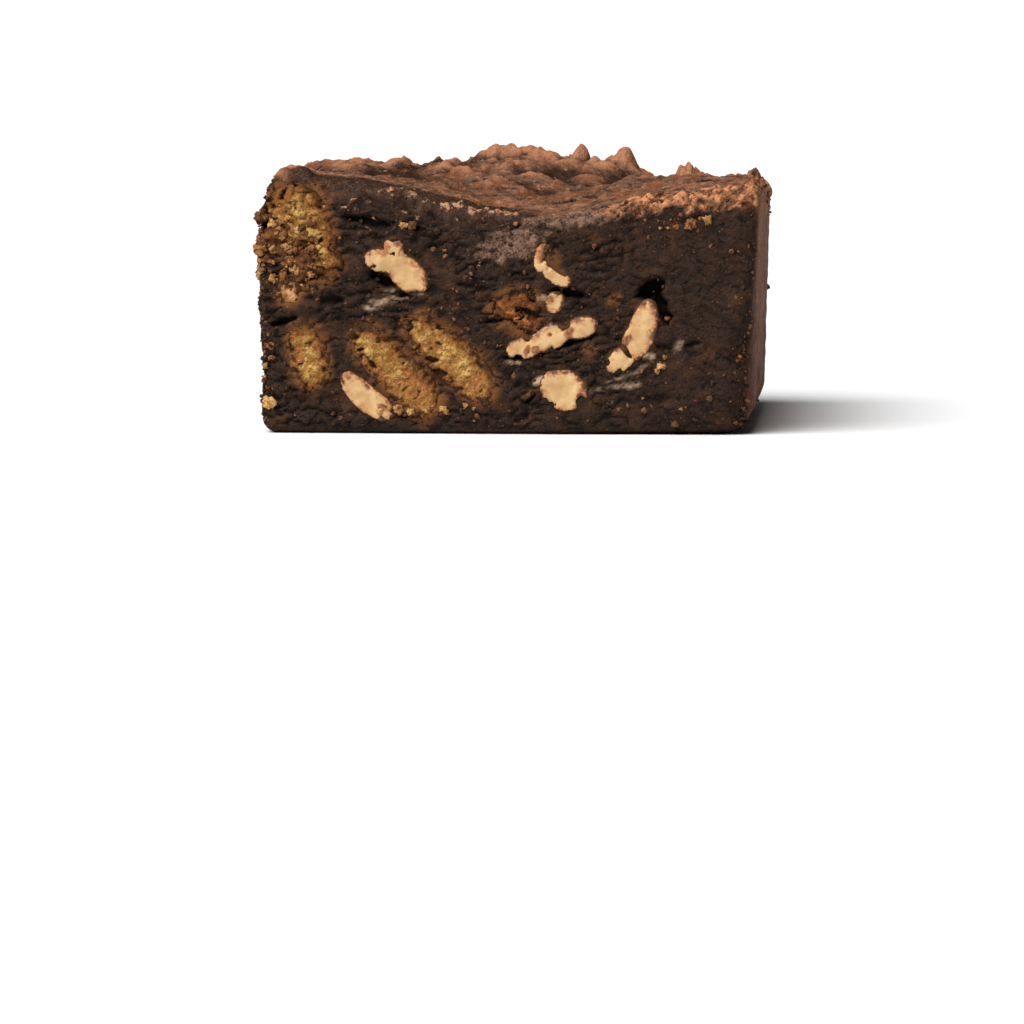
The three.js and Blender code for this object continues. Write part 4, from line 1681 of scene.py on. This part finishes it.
@dataclass
class LooseCrumbs:
    """Crumbs stuck to the block, made as one mesh. Sizes are in millimetres, depths in crumb sizes."""

    name: str
    count: int
    small: float
    large: float
    seed: int
    finish: CrumbFinish
    slot: str
    detail: int = 2
    depths: tuple[float, float] = (-0.25, 0.2)
    stray: float = 0.12
    floor_room: float = 0.6

    def shapes(self, draw: np.random.Generator, kinds: int = 10) -> tuple[list[np.ndarray], list]:
        """Make a few uneven crumbs to repeat.

        Args:
            draw: The source of random numbers.
            kinds: How many to make.

        Returns:
            The points of each, about 1 across, and their shared faces.
        """
        ball = bmesh.new()
        bmesh.ops.create_icosphere(ball, subdivisions=self.detail, radius=0.5)
        base = np.array([v.co[:] for v in ball.verts])
        faces = [[v.index for v in f.verts] for f in ball.faces]
        ball.free()
        made = []
        for _ in range(kinds):
            shift = draw.uniform(-50.0, 50.0, 3)
            lumps = np.stack([grit(base + shift, 0.42, s) for s in (0.0, 5.0, 9.0)], 1)
            bits = scatter_cells(base + shift, (0.26, 0.26, 0.26), 1.0)
            rough = 1.0 + 0.7 * (0.5 - bits.near) + 0.2 * bits.draw
            made.append((base * rough[:, None] + 0.36 * lumps) * draw.uniform(0.55, 1.2, 3))
        return made, faces

    def build(self, block: FudgeBlock, weight: np.ndarray, effects: Effects) -> Piece:
        """Strew the crumbs.

        Args:
            block: The finished block.
            weight: How likely each of the block's points is to hold a crumb.
            effects: The shared node groups.

        Returns:
            The crumbs.
        """
        draw = np.random.default_rng(self.seed)
        spots = draw.choice(len(block.points), self.count, p=weight / weight.sum())
        kinds, faces = self.shapes(draw)
        sizes = self.small * (self.large / self.small) ** (draw.random(self.count) ** 2.0)
        points, joined, tones = [], [], []
        for spot, size in zip(spots, sizes):
            turn = Vector(draw.normal(size=3)).normalized().to_track_quat("Z", "Y").to_matrix()
            shape = kinds[draw.integers(len(kinds))] @ np.array(turn).T * size
            middle = block.roots[spot] + block.facing[spot] * size * draw.uniform(*self.depths)
            middle = middle + draw.normal(size=3) * self.stray
            middle[2] = max(middle[2], size * self.floor_room)
            offset = len(points) * len(shape)
            points.append(shape + middle)
            joined.extend([[offset + corner for corner in face] for face in faces])
            tones.append(np.full(len(shape), draw.random()))
        piece = make_object(self.name, np.concatenate(points), joined, {"draw": np.concatenate(tones)})
        piece.data.materials.append(self.finish.build(effects))
        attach(piece, "root")
        return piece


# The studio


@dataclass(frozen=True)
class Studio:
    """Floor, light and camera. Distances are in millimetres, and the sight ends at so many metres."""

    turn: float = 4.5
    distance: float = 700.0
    camera_height: float = 52.0
    aim: tuple[float, float, float] = (0.9, -33.0, -11.0)
    focal_pixels: float = 4950.0
    image_pixels: float = 1024.0
    sensor: float = 36.0
    sight: float = 20.0
    floor_reach: tuple[float, float, float] = (3e4, 4e3, 9e4)
    fill: float = 0.022
    glow: float = 1.2
    glow_from: tuple[float, float] = (0.94, 0.985)
    key: float = 5.0
    key_spread: float = 50.0
    key_from: tuple[float, float, float] = (-0.45, -0.62, 1.0)

    def place_camera(self) -> None:
        """Set the camera low in front, as far off as a long lens is."""
        camera = bpy.data.cameras.new("Camera")
        camera.sensor_width = self.sensor
        camera.lens = self.focal_pixels / self.image_pixels * self.sensor
        camera.clip_end = self.sight
        holder = bpy.data.objects.new("Camera", camera)
        turn = math.radians(self.turn)
        aim = Vector(self.aim)
        spot = aim + Vector((math.sin(turn), -math.cos(turn), 0.0)) * self.distance
        spot.z = self.camera_height
        holder.location = spot * MM
        holder.rotation_euler = (aim - spot).to_track_quat("-Z", "Y").to_euler()
        bpy.context.scene.collection.objects.link(holder)
        bpy.context.scene.camera = holder

    def lay_floor(self) -> None:
        """Lay a wide pale sheet under the brownie that runs to the horizon."""
        aside, near, far = self.floor_reach
        points = np.array([(-aside, -near, 0.0), (aside, -near, 0.0), (aside, far, 0.0), (-aside, far, 0.0)])
        sheet = make_object("floor_sheet", points, [[0, 1, 2, 3]], {})
        paper = {"Base Color": (0.9, 0.9, 0.9, 1.0), "Roughness": 0.9}
        sheet.data.materials.append(start_material("Paper Sheet", paper)[0])

    def hang_lights(self) -> None:
        """Light the brownie softly from above and in front, with a white glow only far behind it."""
        world = bpy.data.worlds.new("Studio")
        world.use_nodes = True
        board = Board(world.node_tree)
        back = world.node_tree.nodes["Background"]
        way = board.add("SeparateXYZ", {"Vector": board.add("TexCoord").outputs["Generated"]})
        board.feed(back, "Color", (1.0, 1.0, 1.0, 1.0))
        board.feed(back, "Strength", board.ramp(way.outputs["Y"], *self.glow_from, self.fill, self.glow))
        bpy.context.scene.world = world
        sun = bpy.data.lights.new("Soft Key", "SUN")
        sun.energy = self.key
        sun.angle = math.radians(self.key_spread)
        holder = bpy.data.objects.new("Soft Key", sun)
        holder.rotation_euler = (-Vector(self.key_from)).to_track_quat("-Z", "Y").to_euler()
        bpy.context.scene.collection.objects.link(holder)

    def build(self) -> None:
        """Set up the whole studio."""
        self.place_camera()
        self.lay_floor()
        self.hang_lights()
        bpy.context.scene.view_settings.view_transform = "Standard"
        bpy.context.scene.view_settings.look = "None"


def dress_chunks(nodes: dict[str, Piece], effects: Effects) -> None:
    """Replace every biscuit and chunk by its detailed piece.

    Args:
        nodes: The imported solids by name.
        effects: The shared node groups.
    """
    golden = GOLDEN_BISCUIT.build(effects)
    dark = DARK_BISCUIT.build(effects)
    tan = TAN_BISCUIT.build(effects)
    white = WhiteFinish().build(effects)
    for name, node in sorted(nodes.items()):
        if name == "fudge_block":
            continue
        if name.startswith("white"):
            piece = WhiteChunk(node).build(white, "white_chocolate")
        elif name == "biscuit_dark":
            piece = Biscuit(node, broken=1.8).build(dark, "dark_biscuit")
        elif name == "biscuit_chip":
            piece = Biscuit(node, broken=0.5).build(tan, "biscuit")
        else:
            loose = name in ("biscuit_corner", "biscuit_left_front", "biscuit_back_left")
            piece = Biscuit(node, broken=2.4 if loose else 1.0).build(golden, "biscuit")
        log.info("%s: %d faces", piece.name, len(piece.data.polygons))


def strew_crumbs(block: FudgeBlock, effects: Effects) -> None:
    """Strew loose crumbs of biscuit and fudge over the block.

    Args:
        block: The finished block.
        effects: The shared node groups.
    """
    marks, p = block.marks, block.points
    cut = (1.0 - marks["crust"]) * (1.0 - marks["tin"]) * smooth(p[:, 2], 0.5, 2.0)
    crumbly = marks["crumbly"] * cut
    upright_edge = bell(np.abs(block.facing[:, 0]) - 0.7, 0.0, 0.25) * cut
    rim, bare = marks["rim"], 1.0 - block.sockets
    behind = p[:, 1] + block.half[1]
    top = marks["crust"] * smooth(behind, 3.0, 12.0) * smooth(behind, 40.0, 30.0)
    lots = (
        (LooseCrumbs("golden_crumbs", 520, 0.3, 1.5, 1, GOLDEN_CRUMB, "biscuit", 3), crumbly**2.0),
        (
            LooseCrumbs("toasted_crumbs", 1250, 0.2, 0.8, 2, TOASTED_CRUMB, "fudge"),
            (0.25 * crumbly + 0.3 * upright_edge + 0.9 * rim + 0.1 * cut + 0.06 * top) * bare,
        ),
        (
            LooseCrumbs("fudge_crumbs", 1300, 0.25, 0.9, 3, FUDGE_CRUMB, "fudge"),
            (0.15 * cut + 0.9 * upright_edge + 0.5 * crumbly) * (1.0 - rim) * bare,
        ),
    )
    for crumbs, weight in lots:
        piece = crumbs.build(block, weight, effects)
        log.info("%s: %d faces", piece.name, len(piece.data.polygons))


def main() -> None:
    """Build the brownie and its studio."""
    logging.basicConfig(level=logging.INFO, format="%(message)s")
    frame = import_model()
    Studio().build()
    effects = Effects()
    block = FudgeBlock(Pockets(frame["nodes"]))
    piece = block.build()
    piece.data.materials.append(block.finish.build(effects))
    log.info("%s: %d faces", piece.name, len(piece.data.polygons))
    dress_chunks(frame["nodes"], effects)
    strew_crumbs(block, effects)


if __name__ == "__main__":
    main()
